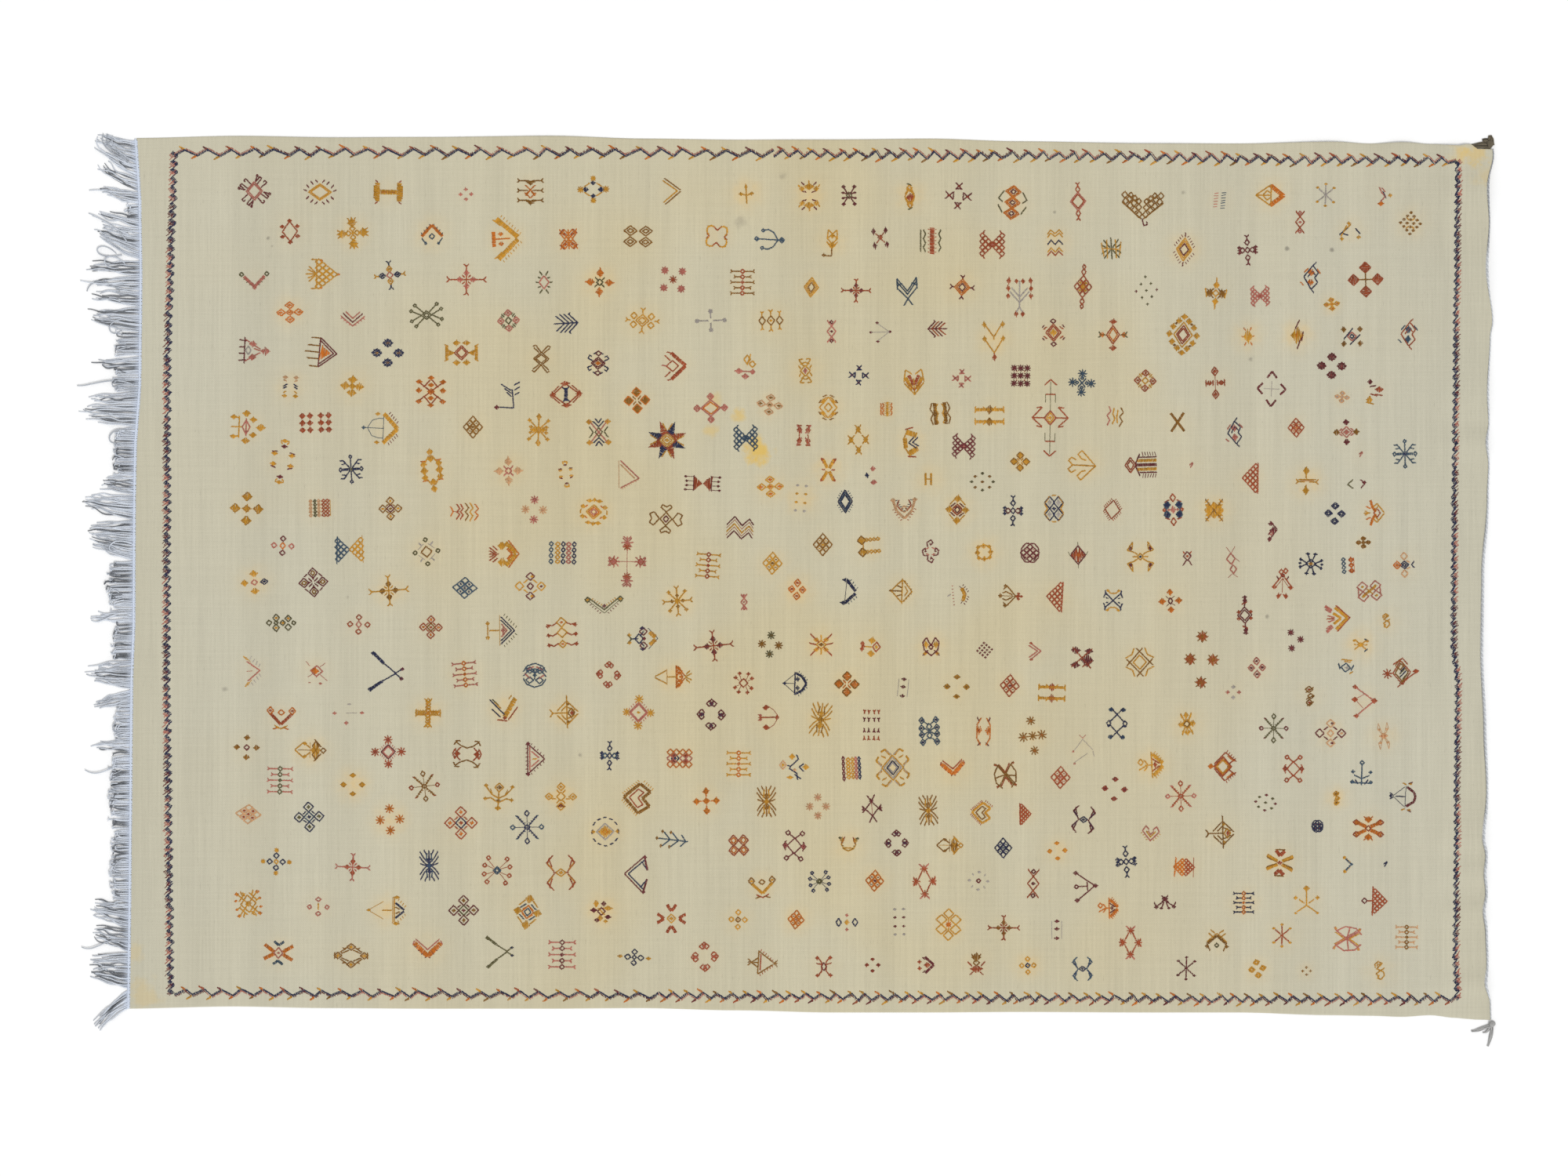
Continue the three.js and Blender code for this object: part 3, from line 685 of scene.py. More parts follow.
stitching = {
    "pitch": 1.9, "length": 3.6, "width": 1.8, "slant": 0.75,   # a line is short slanting stitches
    "satinPitch": 1.6, "satinWidth": 2.0,                       # a filled shape is long ones side by side
    "thin": (2.2, 2.6, 1.3, 0.15),                              # the same four for a thin line
    "tickWidth": 1.7, "tickSlant": 0.25,
    "height": 0.7, "sunk": 0.12, "angleJitter": 0.09, "placeJitter": 0.15, "toneJitter": 0.16,
    "twist": 1.1, "toneSpread": 0.3,
}
sewn = {letter: [] for letter in wools}


# Stitches are rows of place x and y, direction, length and width. A line is sampled at an even pitch.
def sewLine(points, pitch=None, length=None, width=None, slant=None, aside=0.0):
    points = np.asarray(points, float)
    runs = np.diff(points, axis=0)
    spans = np.maximum(np.hypot(runs[:, 0], runs[:, 1]), 1e-6)
    reach = np.concatenate([[0], np.cumsum(spans)])
    count = max(1, round(reach[-1] / (pitch or stitching["pitch"])))
    at = (np.arange(count) + 0.5) / count * reach[-1]
    span = np.clip(np.searchsorted(reach, at) - 1, 0, len(spans) - 1)
    share = (at - reach[span]) / spans[span]
    direction = np.arctan2(runs[:, 1], runs[:, 0])[span]
    place = points[span] + runs[span] * share[:, None]
    place = place + aside * np.stack([-np.sin(direction), np.cos(direction)], -1)
    slant = stitching["slant"] if slant is None else slant
    length = stitching["length"] if length is None else length
    width = stitching["width"] if width is None else width
    return np.column_stack([place, direction + slant, np.broadcast_to(length, count),
                            np.full(count, width)])


# A filled lozenge: upright satin stitches side by side, as long as the lozenge is high there
def sewLozenge(x, y, wide, high):
    count = max(2, round(2 * wide / stitching["satinPitch"]))
    t = (np.arange(count) + 0.5) / count * 2 - 1
    length = np.maximum(2 * high * (1 - np.abs(t)), 2.0)
    return np.column_stack([x + t * wide, np.full(count, y), np.full(count, np.pi / 2), length,
                            np.full(count, stitching["satinWidth"])])


def keepStitches(letter, stitches, centre=(0, 0), quarterTurns=0.0, tone=0.5):
    turn = quarterTurns * np.pi / 2
    x, y = stitches[:, 0].copy(), stitches[:, 1].copy()
    kept = stitches.copy()
    kept[:, 0] = centre[0] + x * np.cos(turn) - y * np.sin(turn)
    kept[:, 1] = centre[1] + x * np.sin(turn) + y * np.cos(turn)
    kept[:, 2] += turn
    sewn[letter].append(np.column_stack([kept, np.full(len(kept), tone)]))


# The border zigzag runs round the cloth some way in. Each side is a route with the zigzag's period
# and height; navy stitches lie inside and rose ones outside, and slanting leaves stand at its turns
# along the two long sides.
border = {
    "sides": [
        {"route": [(-1166, 778), (-336, 778), (-70, 776)], "period": 41, "height": 13, "leaves": True},
        {"route": [(-70, 776), (50, 774), (440, 772), (870, 764), (1166, 763), (1178, 755)], "period": 28,
         "height": 13, "leaves": True},
        {"route": [(1181, 760), (1175, 140), (1173, -130), (1181, -190), (1177, -700), (1180, -772)],
         "period": 14.5, "height": 6, "leaves": False},
        {"route": [(1179, -770), (1166, -771), (800, -772), (100, -768), (-280, -765)], "period": 27,
         "height": 11, "leaves": True},
        {"route": [(-280, -765), (-600, -763), (-1166, -759)], "period": 36, "height": 11,
         "leaves": True},
        {"route": [(-1173, -762), (-1180, -200), (-1179, 400), (-1166, 778)], "period": 15.5,
         "height": 10, "leaves": False},
    ],
    # The two lines' stitches, with the length and the place aside along the long sides and the ends
    "navy": {"pitch": 1.8, "width": 1.8, "length": (4.8, 7.4), "aside": (-0.6, -0.6), "uneven": 0.12},
    "rose": {"pitch": 2.2, "width": 1.6, "length": (3.8, 6.4), "aside": (2.2, 4.4), "uneven": 0.15},
    "slant": (2.05, 2.3), "roseKept": 0.85,
    "leafWools": "gomgbgok", "leaf": 10.5, "leafPitch": 1.8,
}


def sewBorder():
    leafCount = 0
    for side in border["sides"]:
        route = np.array(side["route"], float)
        runs = np.diff(route, axis=0)
        reach = np.concatenate([[0], np.cumsum(np.hypot(runs[:, 0], runs[:, 1]))])
        turns = max(2, round(2 * reach[-1] / side["period"]))
        at = np.arange(turns + 1) / turns * reach[-1]
        at[1:-1] += rng.normal(0, side["period"] * 0.07, turns - 1)
        x, y = np.interp(at, reach, route[:, 0]), np.interp(at, reach, route[:, 1])
        heading = np.arctan2(route[-1, 1] - route[0, 1], route[-1, 0] - route[0, 0])
        outward = np.array([-np.sin(heading), np.cos(heading)])
        swing = (np.arange(turns + 1) % 2 * 2 - 1) * side["height"] / 2
        swing = swing * rng.uniform(0.75, 1.15, turns + 1)
        zigzag = np.column_stack([x, y]) + swing[:, None] * outward
        upright = int(abs(math.sin(heading)) > 0.7)
        sewnLines = []
        for line in (border["navy"], border["rose"]):
            row = sewLine(zigzag, line["pitch"], line["length"][upright], line["width"], 0.0,
                          line["aside"][upright])
            row[:, 2] = heading + border["slant"][upright] + rng.normal(0, line["uneven"], len(row))
            sewnLines.append(row)
        navy, rose = sewnLines
        keepStitches("n", navy)
        kept = rng.uniform(0, 1, len(rose)) < border["roseKept"]
        roseShare = np.sin(np.arange(len(rose)) / 23.0 + heading * 3) > -0.1
        keepStitches("p", rose[kept & roseShare])
        keepStitches("m", rose[kept & ~roseShare])
        if not side["leaves"]:
            continue
        top = side["route"][0][1] > 0
        for turnAt in range(1, turns):
            peakUp = (zigzag[turnAt, 1] - y[turnAt]) > 0
            lean = np.array([-0.86, 0.52 if peakUp else -0.55])
            start = zigzag[turnAt] + lean * 1.5
            end = start + lean * border["leaf"] * rng.uniform(0.7, 1.15)
            letter = border["leafWools"][leafCount % len(border["leafWools"])]
            steps = max(1, round(np.hypot(*(end - start)) / border["leafPitch"]))
            leaf = sewLine([start, end], border["leafPitch"], np.linspace(5.8, 3.0, steps), 1.9,
                           0.9 if peakUp == top else -0.9)
            keepStitches(letter, leaf, tone=rng.uniform(0.3, 0.8))
            leafCount += 1


sewBorder()
print("border sewn")


# The charts of the needlepoint motifs, in millimetres from a motif's middle, x to the right and y up.
# A stroke is a word for its copies, its kind, which of the motif's wools it takes, and its sizes:
#   no kind, or thin: a line's points. ring: middle, half width, half height. seed: the same, filled.
#   band: width, then points. wedge: first width, last width, two points. ticks: how many, length, two
#   points. star: middle, half width. net: rows, half pitches of small rings; pips: the same of small
#   seeds; tri: a triangle of rings, with its first column's place; chain: rings along a line, how many,
#   half width and height, and the line's two points. curl, fork, hook: a stem's two points and the
#   end's size.
# Copies: lr and ud mirror, quad does both, turn makes four quarter turns, spin mirrors those too.
# After a slash comes the same stroke with other sizes. A ring, seed or star without a middle is at
# 0 0, and one size is both half width and half height. An indented line goes on with the chart.
charts = """
hookDiamond: ring 0 15 17 / 11.5 13; turn hook 1 5 12 14 23 5 / 12 6 23 15 5; turn 1 -17 2 -26 11; turn curl
  1 2 17 5 26 2
eye: ring 0 21 15 / 17 12; quad 1 4 18 9 22 / 12 14 17 19 / 20 8 25 13; lr 1 24 2 30 4
axe: lr band 0 9 20 -17 20 17 / 6 24 -12 24 12; band 0 9 -16 0 16 0; quad 1 19 18 24 21; 1 -12 0 12 0
sixSeed: ring 0 12 16; ud seed 0 0 17 4; quad seed 1 12 8 4
clover: turn seed 0 19 0 9; spin 0 20 3 28 7; turn 0 20 0 29 0; turn ring 0 8 0 5; seed 1 3
vee: lr band 0 6 0 -13 19 6; lr ring 1 23 10 4; lr ticks 1 3 5 22 2 7 -13; seed 0 0 -15 4
forkCross: turn seed 1 12 0 7 6; turn 0 0 0 20 0; lr fork 0 18 0 31 0 7; ud fork 0 0 16 0 24 6; quad 0 3 4 8
  8
fiveSeed: ring 0 6 5; lr ring 0 16 0 8 6; ud ring 0 0 13 8 6; lr seed 1 17 0 4 3; ud seed 1 0 13 4 3; seed 1
  3
wave: lr 0 0 -15 22 3; lr 1 0 -8 18 8; lr 0 0 -1 13 11; lr ticks 0 4 4 24 -1 4 -16
fourDot: lr seed 0 13 0 5; ud seed 1 0 12 5
totem: lr fork 0 2 18 20 18 5 / 4 0 20 0 5 / 2 -18 20 -18 5; wedge 0 22 2 0 18 0 9 / 22 2 0 -18 0 -27; lr 1
  -9 10 9 -8 / -10 -4 0 -14 / 8 -10 2 -2
fourCross: lr seed 0 14 0 6; ud seed 0 0 12 5; lr star 1 23 0 6; ud star 1 0 20 5; quad 1 6 12 16 5
tent: lr band 0 6 0 17 19 -4; lr curl 1 19 -7 13 -15 2; ring 1 0 -4 5; lr ticks 1 4 5 3 21 23 0
arrowComb: ud band 0 9 -17 37 20 2; ud ticks 0 8 5 26 4 -12 42; band 1 7 -24 -14 -24 14; 1 -24 0 6 0; ud
  seed 1 -11 9 5; ud 0 -24 36 -10 24
doubleX: ring 0 8 10; quad 0 0 10 8 20; ud ring 1 0 17 3; seed 1 3
starCross: turn seed 0 17 0 8; turn 0 17 0 27 0; ring 1 6; quad 1 2 2 9 9
lattice: ring 1 9 8; quad curl 0 4 4 18 17 3 / 9 0 25 8 3; ring 1 5 4
seedTick: ring 1 6; turn ring 0 14 0 6; turn seed 0 14 0 3; quad 1 7 7 12 12; spin 1 10 6 14 8
feather: ud 0 22 0 5 17; ud 1 14 0 -3 17; ud 0 6 0 -11 17; 0 -22 0 22 0; ud 1 -2 0 -18 14; ud 0 5 17 9 19
gate: ud seed 0 0 17 10 7; quad seed 0 13 13 5 6; ud 0 0 20 0 28; quad 1 5 7 13 9; quad 0 16 16 20 20; quad
  1 8 20 14 25
fourDiamond: quad ring 0 14 10 12 9 / 14 10 6 4
quincunx: star 1 7; quad star 0 16 16 7; quad ring 0 16 16 5
ladder: seed 0 4; ud ring 0 0 10 4 / 0 20 4; lr fork 1 4 0 19 0 4; quad fork 1 4 10 13 10 4 / 4 20 19 20 4
lozenge: ring 0 13 18 / 9.5 13.5; ring 1 6 9
crownDiamond: ring 0 12 11 / 7 6; quad ring 0 16 8 6; ud fork 1 0 12 0 19 6; lr fork 1 22 0 27 0 5
faintCross: lr 0 4 0 22 0; ud 0 0 4 0 14; lr star 0 25 0 4; ud star 0 0 17 4
crown: ring 0 7 9; lr ring 0 16 0 6 8; ud fork 1 0 9 0 16 5; quad fork 1 16 8 16 14 4; seed 1 3
pawCross: ring 1 5 6; quad 0 3 4 10 15; quad seed 0 10 16 4; quad 0 4 3 11 5; quad seed 0 11 5 3; 0 0 -6 0 6
spindle: seed 1 1 -2 8 10; quad 0 2 16 8 4; ud ring 0 0 15 5 6; ud 2 -4 24 4 20; ring 0 9 14
medallion: ud ring 0 0 20 14 11 / 0 20 10 8; ud ring 1 0 20 5 4; ring 0 14 11 / 10 8; ring 1 5 4; lr 2 17 20
  26 6 18 0 / 17 -20 26 -6
threeBands: band 0 9 0 -24 0 24; lr 1 12 -20 16 -12 12 -4 16 4 12 12 16 20; 1 -21 -20 -21 20; lr ticks 0 7 3
  5 -24 5 24
hourglass: lr tri 0 4 -5.5 5.5 18; quad 0 17 20 14 26; seed 1 3
zigStack: 0 -14 10 -8 18 0 12 8 18 14 10 / -14 16 -8 24 0 17 8 24 14 16; 1 -14 -3 -7 5 0 -3 7 5 14 -3; 0 -14
  -17 -7 -9 0 -17 7 -9 14 -17; 2 -14 -23 -7 -15 0 -23 7 -15 14 -23
lozengeSpur: ring 0 14 15 / 10 11; ring 1 6 7; lr fork 1 15 0 18 0 6; ud fork 1 0 15 0 18 5
longDiamond: ring 0 11 13; ring 1 14 17; ud ring 0 0 22 4 6; ud fork 0 0 26 0 31 5
heartNet: lr chain 0 4 6 7 6 -16 31 8 / 4 6 7 7 -3 33 19 / 3 5 6 7 8 22 19; hook 1 0 -23 3 -36 7; lr 0 2 -24
  38 6
twoBands: ticks 0 6 8 -10 -15 -10 15; ticks 1 7 9 3 -16 3 17
boat: ud 0 -26 6 -20 1; seed 0 -25 0 3 4; ud thin 0 -20 1 0 18; 0 -16 0 2 0; thin 0 2 -20 2 20; ud band 1 5
  4 18 18 8 20 0; ud 2 -4 25 2 22; ud 1 6 24 14 27; ud seed 2 10 24 3
blades: quad 0 2 2 14 17; lr 1 8 -17 8 17; 0 0 -19 0 21; lr 1 14 -13 18 12; 1 -14 2 14 -2; quad 0 8 2 18 8
lozengeHook: ring 0 14 21 / 11 16; ring 1 8 11; quad ticks 1 5 5 17 3 2 25; ud 1 0 23 0 31
ringCross: chain 0 3 5 6 0 -14 0 14; ud fork 0 0 17 0 24 5; lr ring 1 9 0 5; lr seed 0 15 5 4 / 15 -5 4 / 15
  0 3
longNet: net 0 3 5.5 7; ud ring 0 0 27 4 6 / 0 36 3 5; seed 1 6 8; quad seed 1 5 7 3
dots: seed 0 2.5; quad seed 0 9 12 2.5 3; lr seed 1 19 0 2.5 3; ud seed 0 0 25 2.5 3
cluster: lr seed 0 11 0 7 9; quad 0 4 9 17 -7; ud seed 1 0 15 6 8; ud 1 0 20 0 29; ring 1 6; lr 1 16 -8 20 8
snow: ud 0 0 2 0 17; quad 0 2 2 13 11; ud seed 1 0 20 3; quad seed 1 15 13 3; seed 0 3
slantBird: 0 -18 -10 -6 10; 1 -20 -6 -4 6; 0 -12 0 2 12; seed 0 -16 -14 4; 1 10 4 18 -6; seed 0 15 -12 4 /
  -2 14 4; 1 -14 -4 -4 -8
netDiamond: net 0 3 6 7; seed 1 3; quad seed 1 6 7 2
arrowSeeds: 0 -17 -24 -17 24; ud 0 -27 19 -14 17 / -27 6 -16 6; ud seed 1 -2 12 7; seed 1 21 0 9 8; 1 0 4 12
  0; ring 2 -10 0 5 8; ud 1 -16 20 12 3
combArrow: ud 0 0 27 32 0 / 0 22 26 0; 0 0 -27 0 27; wedge 1 28 3 2 0 20 0; ud 2 -17 26 0 26 / -22 12 0 12;
  2 -27 0 0 0
fourRosette: lr star 0 20 0 8; lr ring 0 20 0 9 7; ud ring 0 0 18 9 7; ud star 0 0 18 8; lr seed 1 20 0 3;
  ud seed 1 0 18 3
fadedColumns: lr seed 0 10 17 5 4; lr 1 6 5 13 0 / 7 0 13 -4; lr seed 2 10 -17 5 4; lr 0 7 10 13 12; lr 2 8
  -8 12 -12
seedComb: 0 -17 -20 -17 20; ud 0 -32 17 -17 17; 0 -32 0 -12 0; ud seed 0 -4 25 8 7 / 9 14 7 6; seed 0 23 0 9
  8; ud seed 0 -27 18 6 5; ring 1 -4 0 7 13; 1 -4 -16 -4 16
seedColumns: quad seed 0 10 13 6 6.5; lr seed 0 10 0 6 6.5; quad seed 0 24 13 6 6.5; lr seed 0 24 0 6 6.5;
  quad seed 1 10 13 2 / 24 13 2
bowArrow: ud band 0 8 3 27 29 0; ud thin 1 -26 0 -18 14 -6 18 3 18; thin 1 -30 0 4 0 / 3 -24 3 24; ud ticks
  2 5 6 28 8 10 28; seed 1 -33 0 4; ud seed 0 -8 26 5 4
ringMarks: ud seed 0 0 38 8 4; ud seed 1 0 28 6 4; lr seed 0 16 13 6 5; lr 1 11 18 21 16; lr seed 0 16 -6 6
  5; lr 1 11 -12 20 -10; quad 0 4 32 8 36
snowCurl: ud curl 0 0 2 0 20 3; lr band 0 5 2 0 15 0; lr ring 0 19 0 3 4; quad 0 2 2 14 17 / 13 17 20 16 / 9
  11 17 9; seed 1 4
wingDiamond: ring 1 13 / 9; quad seed 0 9 18 7 6; lr band 0 6 27 -12 27 12; lr wedge 0 3 12 13 0 24 0; quad
  0 24 12 31 15
crossDiamond: ring 0 14 12 / 10 8; quad 0 0 11 11 24 / 4 11 15 20 / 11 25 16 22
latticeSeeds: quad 1 0 0 22 17; quad seed 0 22 18 6 5; lr seed 0 22 2 6; seed 0 7; ud seed 0 0 12 6 5 / 0 25
  6 5; quad 1 2 21 13 8
twig: 0 2 14 4 -20 / 4 -20 -22 -18 / -18 24 0 12 / -12 16 0 7 / -8 9 0 1 / 6 22 16 27 / 6 13 16 18 / 6 4 15
  8; seed 1 -27 -18 5
ring: ring 0 24 20; quad 0 12 16 22 6; ud seed 0 0 20 9 5; lr seed 0 24 0 6 8; band 1 7 -1 -12 1 12; quad 1
  0 8 7 14
snowRing: ud seed 0 0 24 5 7; 0 0 -20 0 20; lr 0 0 0 16 0; quad 0 2 2 15 15; quad seed 0 17 17 4 / 14 5 4;
  lr seed 0 8 0 6; ring 0 6
longCross: ud seed 0 0 34 6 8 / 0 21 6 7; lr seed 0 14 0 7 9; quad seed 0 14 12 6 7; quad 0 3 27 12 13; quad
  1 9 18 19 18
arrowDiamond: ud band 0 7 -8 24 18 0; ud 0 -16 26 -6 23; ring 0 -6 0 11 10; 1 -26 2 -16 0; ud 0 -20 20 -10
  10
cornerDiamond: ring 0 18 15; ring 1 14 11; lr ring 0 25 0 6; ud ring 0 0 21 6; lr seed 0 25 0 4; ud seed 0 0
  21 4
star8: turn wedge 0 16 1 11 5 34 14; turn wedge 1 16 1 5 11 14 34; ring 2 14 12 / 9 8; seed 2 5 4; ring 0 18
  16; spin 2 19 2 31 9
fourFigures: quad seed 0 8 10 5 9; quad 1 3 4 13 19; lr 0 8 -2 8 2; quad 0 4 18 12 18
bowComb: lr wedge 0 28 3 16 0 1 0; quad thin 1 16 4 29 4 / 16 12 31 12; quad seed 1 31 12 3 / 29 4 3; lr 1
  16 -14 16 14
fiveRing: ring 1 5; lr ring 0 13 0 5; ud ring 0 0 14 5; seed 0 2
xCross: quad band 0 6 2 3 10 19; quad 1 9 12 14 21; lr 1 6 0 12 0; quad seed 1 11 19 3
doubleVee: lr 0 17 30 0 5 / 17 2 0 -24; lr seed 0 17 28 4 7 / 17 2 4 6; 1 0 -24 0 -38; seed 1 0 -32 4 7; 0 0
  0 0 5
fourX: lr seed 0 15 0 5 8; lr 0 8 -9 21 9 / 8 9 21 -9; ud seed 0 0 21 5 8; ud 0 -6 12 6 30 / 6 12 -6 30
mirrorBands: lr band 0 7 9 -20 9 20; lr 1 4 -18 8 -9 4 0 8 9 4 18; lr 0 14 -20 18 -9 13 0 18 9 14 20
triad: seed 0 3 13 5 6; seed 1 -8 1 4 6; seed 0 4 -12 6
smallH: lr band 0 4 5 -11 5 11; 0 -4 0 4 0
dotRing: lr seed 0 18 0 3; ud seed 0 0 14 3; quad seed 1 12 9 3; seed 1 3
tasselDiamond: ring 1 12 17 / 9 12; ring 0 17 23; quad seed 0 19 14 6 7 / 9 25 6 7; lr seed 0 25 0 6 7; ud
  seed 0 0 33 7 6; quad seed 2 14 20 3
solidLozenge: seed 0 10 15; quad 1 4 12 8 18; lr 1 10 0 13 0
scrollCross: ud ring 0 0 21 6 8; ud seed 0 0 21 4 5; thin 0 0 -14 0 14; lr seed 0 11 0 6; lr 0 17 -6 17 6 /
  4 -5 4 5
fourVee: ud band 0 4 -9 20 0 32 / 4 9 20 0 32; lr band 0 4 16 10 26 0 / 4 16 -10 26 0; thin 1 -14 0 14 0 / 0
  -14 0 14
xBar: quad band 0 5 0 0 12 17
fish: ud 0 -4 14 28 14; ud band 1 6 -8 8 28 8; band 0 6 -10 0 28 0; ud ticks 0 6 8 28 16 0 16; ring 2 -20 0
  10 14 / -20 0 6 9; ud 0 -12 0 -3 20
mark: 0 -3 -4 3 4 / -4 1 2 5
netTriangle: tri 0 5 -5 5.4 9; 0 13 -28 13 28
serpent: seed 1 -7 17 5 6; 1 -7 8 4 10; seed 0 10 3 8 7; 0 2 -6 16 -8; seed 2 -8 -16 6 8; 2 -14 -20 0 -24; 0
  6 -9 -6 -5
twoMarks: 0 -16 0 -6 8 / -16 0 -6 -8; 1 8 8 16 0 8 -8; seed 1 15 2 4
spacedSeeds: ring 1 5; lr seed 0 21 0 4; ud seed 0 0 20 4; quad 0 12 12 16 16
dotColumns: quad seed 0 8 8 3; quad seed 1 8 23 3
tickHeart: lr 0 0 -16 18 4 12 15 4 8; lr ticks 1 4 4 4 -15 20 3; lr 1 0 -8 10 4; lr 0 0 -3 6 5
fourSpiral: ud 0 -5 8 -6 16 2 21 5 15 0 11 0 15; lr 0 5 -8 13 -7 15 1 10 6 8 0 11 -1; quad 1 3 7 8 4
knotNet: net 0 3 6 5.5; quad 0 0 17 8 17 15 9 16 2; lr 0 7 -14 15 -2; quad seed 1 6 6 2
bow: thin 0 -4 -20 -4 20; ud band 0 6 -2 19 14 2; ud ticks 1 4 4 17 5 0 22; ud seed 0 -6 21 7 4
kiteNet: 0 0 21 -20 0 0 -21; 1 -20 0 0 0; 0 0 -23 0 23; ud 0 2 20 18 0 / 5 9 10 0; seed 1 -21 0 3; ud 1 -10
  10 0 6; ud ticks 1 4 4 4 21 20 3
tree: 0 0 -26 0 23; lr 0 0 -10 12 2 / 0 4 12 16 / 0 -22 10 -14; lr seed 1 12 4 3 / 12 18 3; seed 1 0 26 3
hookX: quad 0 0 0 14 13 17 5 / 14 13 15 18 / 9 4 13 4; ud 1 -12 19 -5 13 5 13 12 19; quad seed 1 10 18 3
fourRing: ud ring 0 0 14 7 6; lr ring 0 12 0 7 6; ud ring 0 0 14 4 3; lr ring 0 12 0 4 3
sHook: 0 -7 6 -7 12 -1 16 5 12 -5 4 6 -2 7 -8 1 -14 -5 -11 -1 -7 / -4 8 -2 12 2 11 / 8 4 2 1 -6 -4 -3 -9
arrowRows: quad fork 0 5 6 5 11 3 / 13 6 13 11 3; quad fork 1 5 20 5 25 3 / 13 20 13 25 3
starSeeds: ring 1 4; lr ring 0 12 0 5; ud ring 0 0 11 5; lr star 1 24 0 4; ud star 1 0 21 4
hexNet: ud ring 0 0 20 9; quad ring 0 13 9 10 9; star 1 5; ud 0 0 11 0 6
thinTriangle: ud 0 18 0 -14 24; 0 -14 0 4 0; seed 1 19 0 5; ud seed 1 -16 25 5; ring 1 -16 0 4; 0 4 -8 4 8
tripod: 0 0 18 0 -10; lr 0 0 -10 18 -22; lr seed 1 20 -24 3; seed 0 0 21 6; lr seed 1 20 4 4; lr 0 4 -6 14 1
tri5: tri 0 5 7 5.6 -4; 0 -8 0 -28 0; ud 0 -8 0 -22 14 / -8 2 -8 26 -18 27 / -8 0 -24 8; ud seed 1 0 25 3;
  seed 1 32 0 3
mixedCross: ud ring 1 0 11 5 6; ud fork 0 0 17 0 22 6; lr ring 0 14 0 6 5; lr fork 1 20 0 25 0 5; ring 2 6;
  lr seed 0 14 0 3; ud seed 1 0 11 3
chevron: ud 0 -14 24 15 1; ud 1 -17 20 9 0
sprig: 0 0 18 0 -18; seed 0 0 12 3 5; lr seed 0 10 0 4; lr 0 0 -3 10 0
blockKnot: quad ring 0 7 9 7 8; quad seed 1 7 9 4; quad 0 0 0 16 18; quad 1 8 19 16 10; 0 0 -18 0 18
lobes: quad 0 5 17 12 19 18 15 18 6 14 2 / 9 19 17 17 19 9; ud 1 -8 19 0 11 8 19; lr 1 19 5 14 0 19 -5
trident: 0 -30 0 12 0; ring 0 17 0 5; seed 0 17 0 3; ud 0 10 0 2 13 -8 18 -15 17; ud ring 0 -18 16 3; ring 0
  -29 0 4
lozengeTick: ring 1 9 12; quad 0 3 13 8 20; lr 0 10 0 15 0; quad 0 6 8 11 9
fourBow: lr 0 9 -7 24 7 / 9 7 24 -7 / 9 -7 9 7; ud 0 -6 12 6 24 / 6 12 -6 24 / -6 13 6 13; lr seed 1 17 0 3;
  ud seed 1 0 18 3
tulip: lr 0 0 -2 9 8 8 24 / 9 8 -8 24 / 0 -9 10 2; 1 0 0 0 -24 -13 -24; seed 1 -14 -23 4; seed 0 0 -4 7 8 /
  0 12 4
fourPip: quad seed 0 11 13 4 7; seed 1 0 1 5 6; quad 1 2 3 8 9
doubleCheck: lr 0 18 26 0 2 / 18 20 0 -4 / 18 8 0 -12 / 18 26 18 6 / 0 -12 8 -24 / 9 17 18 12
bouquet: 0 0 -20 0 28; lr 0 0 -12 18 8 / 0 -2 15 15; lr seed 1 20 28 4 7 / 21 14 4 6 / 21 0 4 6 / 6 27 4 5;
  lr 0 0 -20 6 -30; lr seed 1 6 -33 4 6
sailArrow: ud band 0 8 -2 18 21 0; ud 0 0 20 24 1; 1 -1 20 -1 -20; ud 1 -29 0 -3 18; 1 -29 0 -2 0; ud 1 -16
  0 -8 9 -2 4
scatter: 0 -7 15 -2 5 4 -2 -5 -12 / -2 14 4 6; seed 1 13 0 4; seed 2 -4 -15 6 5; 3 0 7 5 -5
pipDiamond: pips 0 4 6 6.5; quad 1 3 6 8 10
notchLeaf: 0 -15 0 0 22 11 9 5 0 11 -9 0 -22 -15 0 / -8 0 0 12 6 4; ud seed 1 -2 9 6 8; lr 1 -15 8 -8 16; ud
  0 0 22 6 28; 1 -20 -10 -14 -16
cloverBall: turn seed 0 22 0 9; turn ring 0 22 0 10; turn 1 0 0 14 0
fivePad: seed 0 7; lr seed 0 13 0 9 8; ud seed 0 0 12 9 8
crab: seed 0 6 5; ring 1 14 12 / 10 8; ud ring 1 0 20 6 5; quad hook 2 12 5 21 9 7; quad 2 4 22 10 18
flourish: ring 1 2 14 6 8 / 12 6 6; 1 2 4 8 24; seed 0 -12 -8 8 6 / 0 -17 7 6 / 13 -8 5 6; 0 -20 -8 16 -8
xTower: ring 0 9 10; seed 1 4 6; quad 0 2 8 11 21 / 10 21 3 22 / 8 4 12 10 / 0 16 8 12
fourPad: turn seed 0 16 0 9; turn ring 1 16 0 9; quad 0 2 2 8 8
xMask: quad 0 0 0 17 21; ud 1 -10 20 0 10 10 20 / -6 25 0 17 6 25; ring 2 7 8; quad seed 3 17 19 6; lr 2 17
  -10 10 0 / 17 10 10 0
pennant: 0 -16 30 18 -3; 1 -16 23 10 -3; 0 -16 -20 18 -3; ticks 1 8 5 18 -6 -14 -24; thin 1 -19 -20 -19 30
roundel: ring 0 16 19; quad 1 3 23 10 19 / 13 14 17 8; quad seed 0 9 11 4 5; ring 0 7 8; quad 0 4 19 14 8
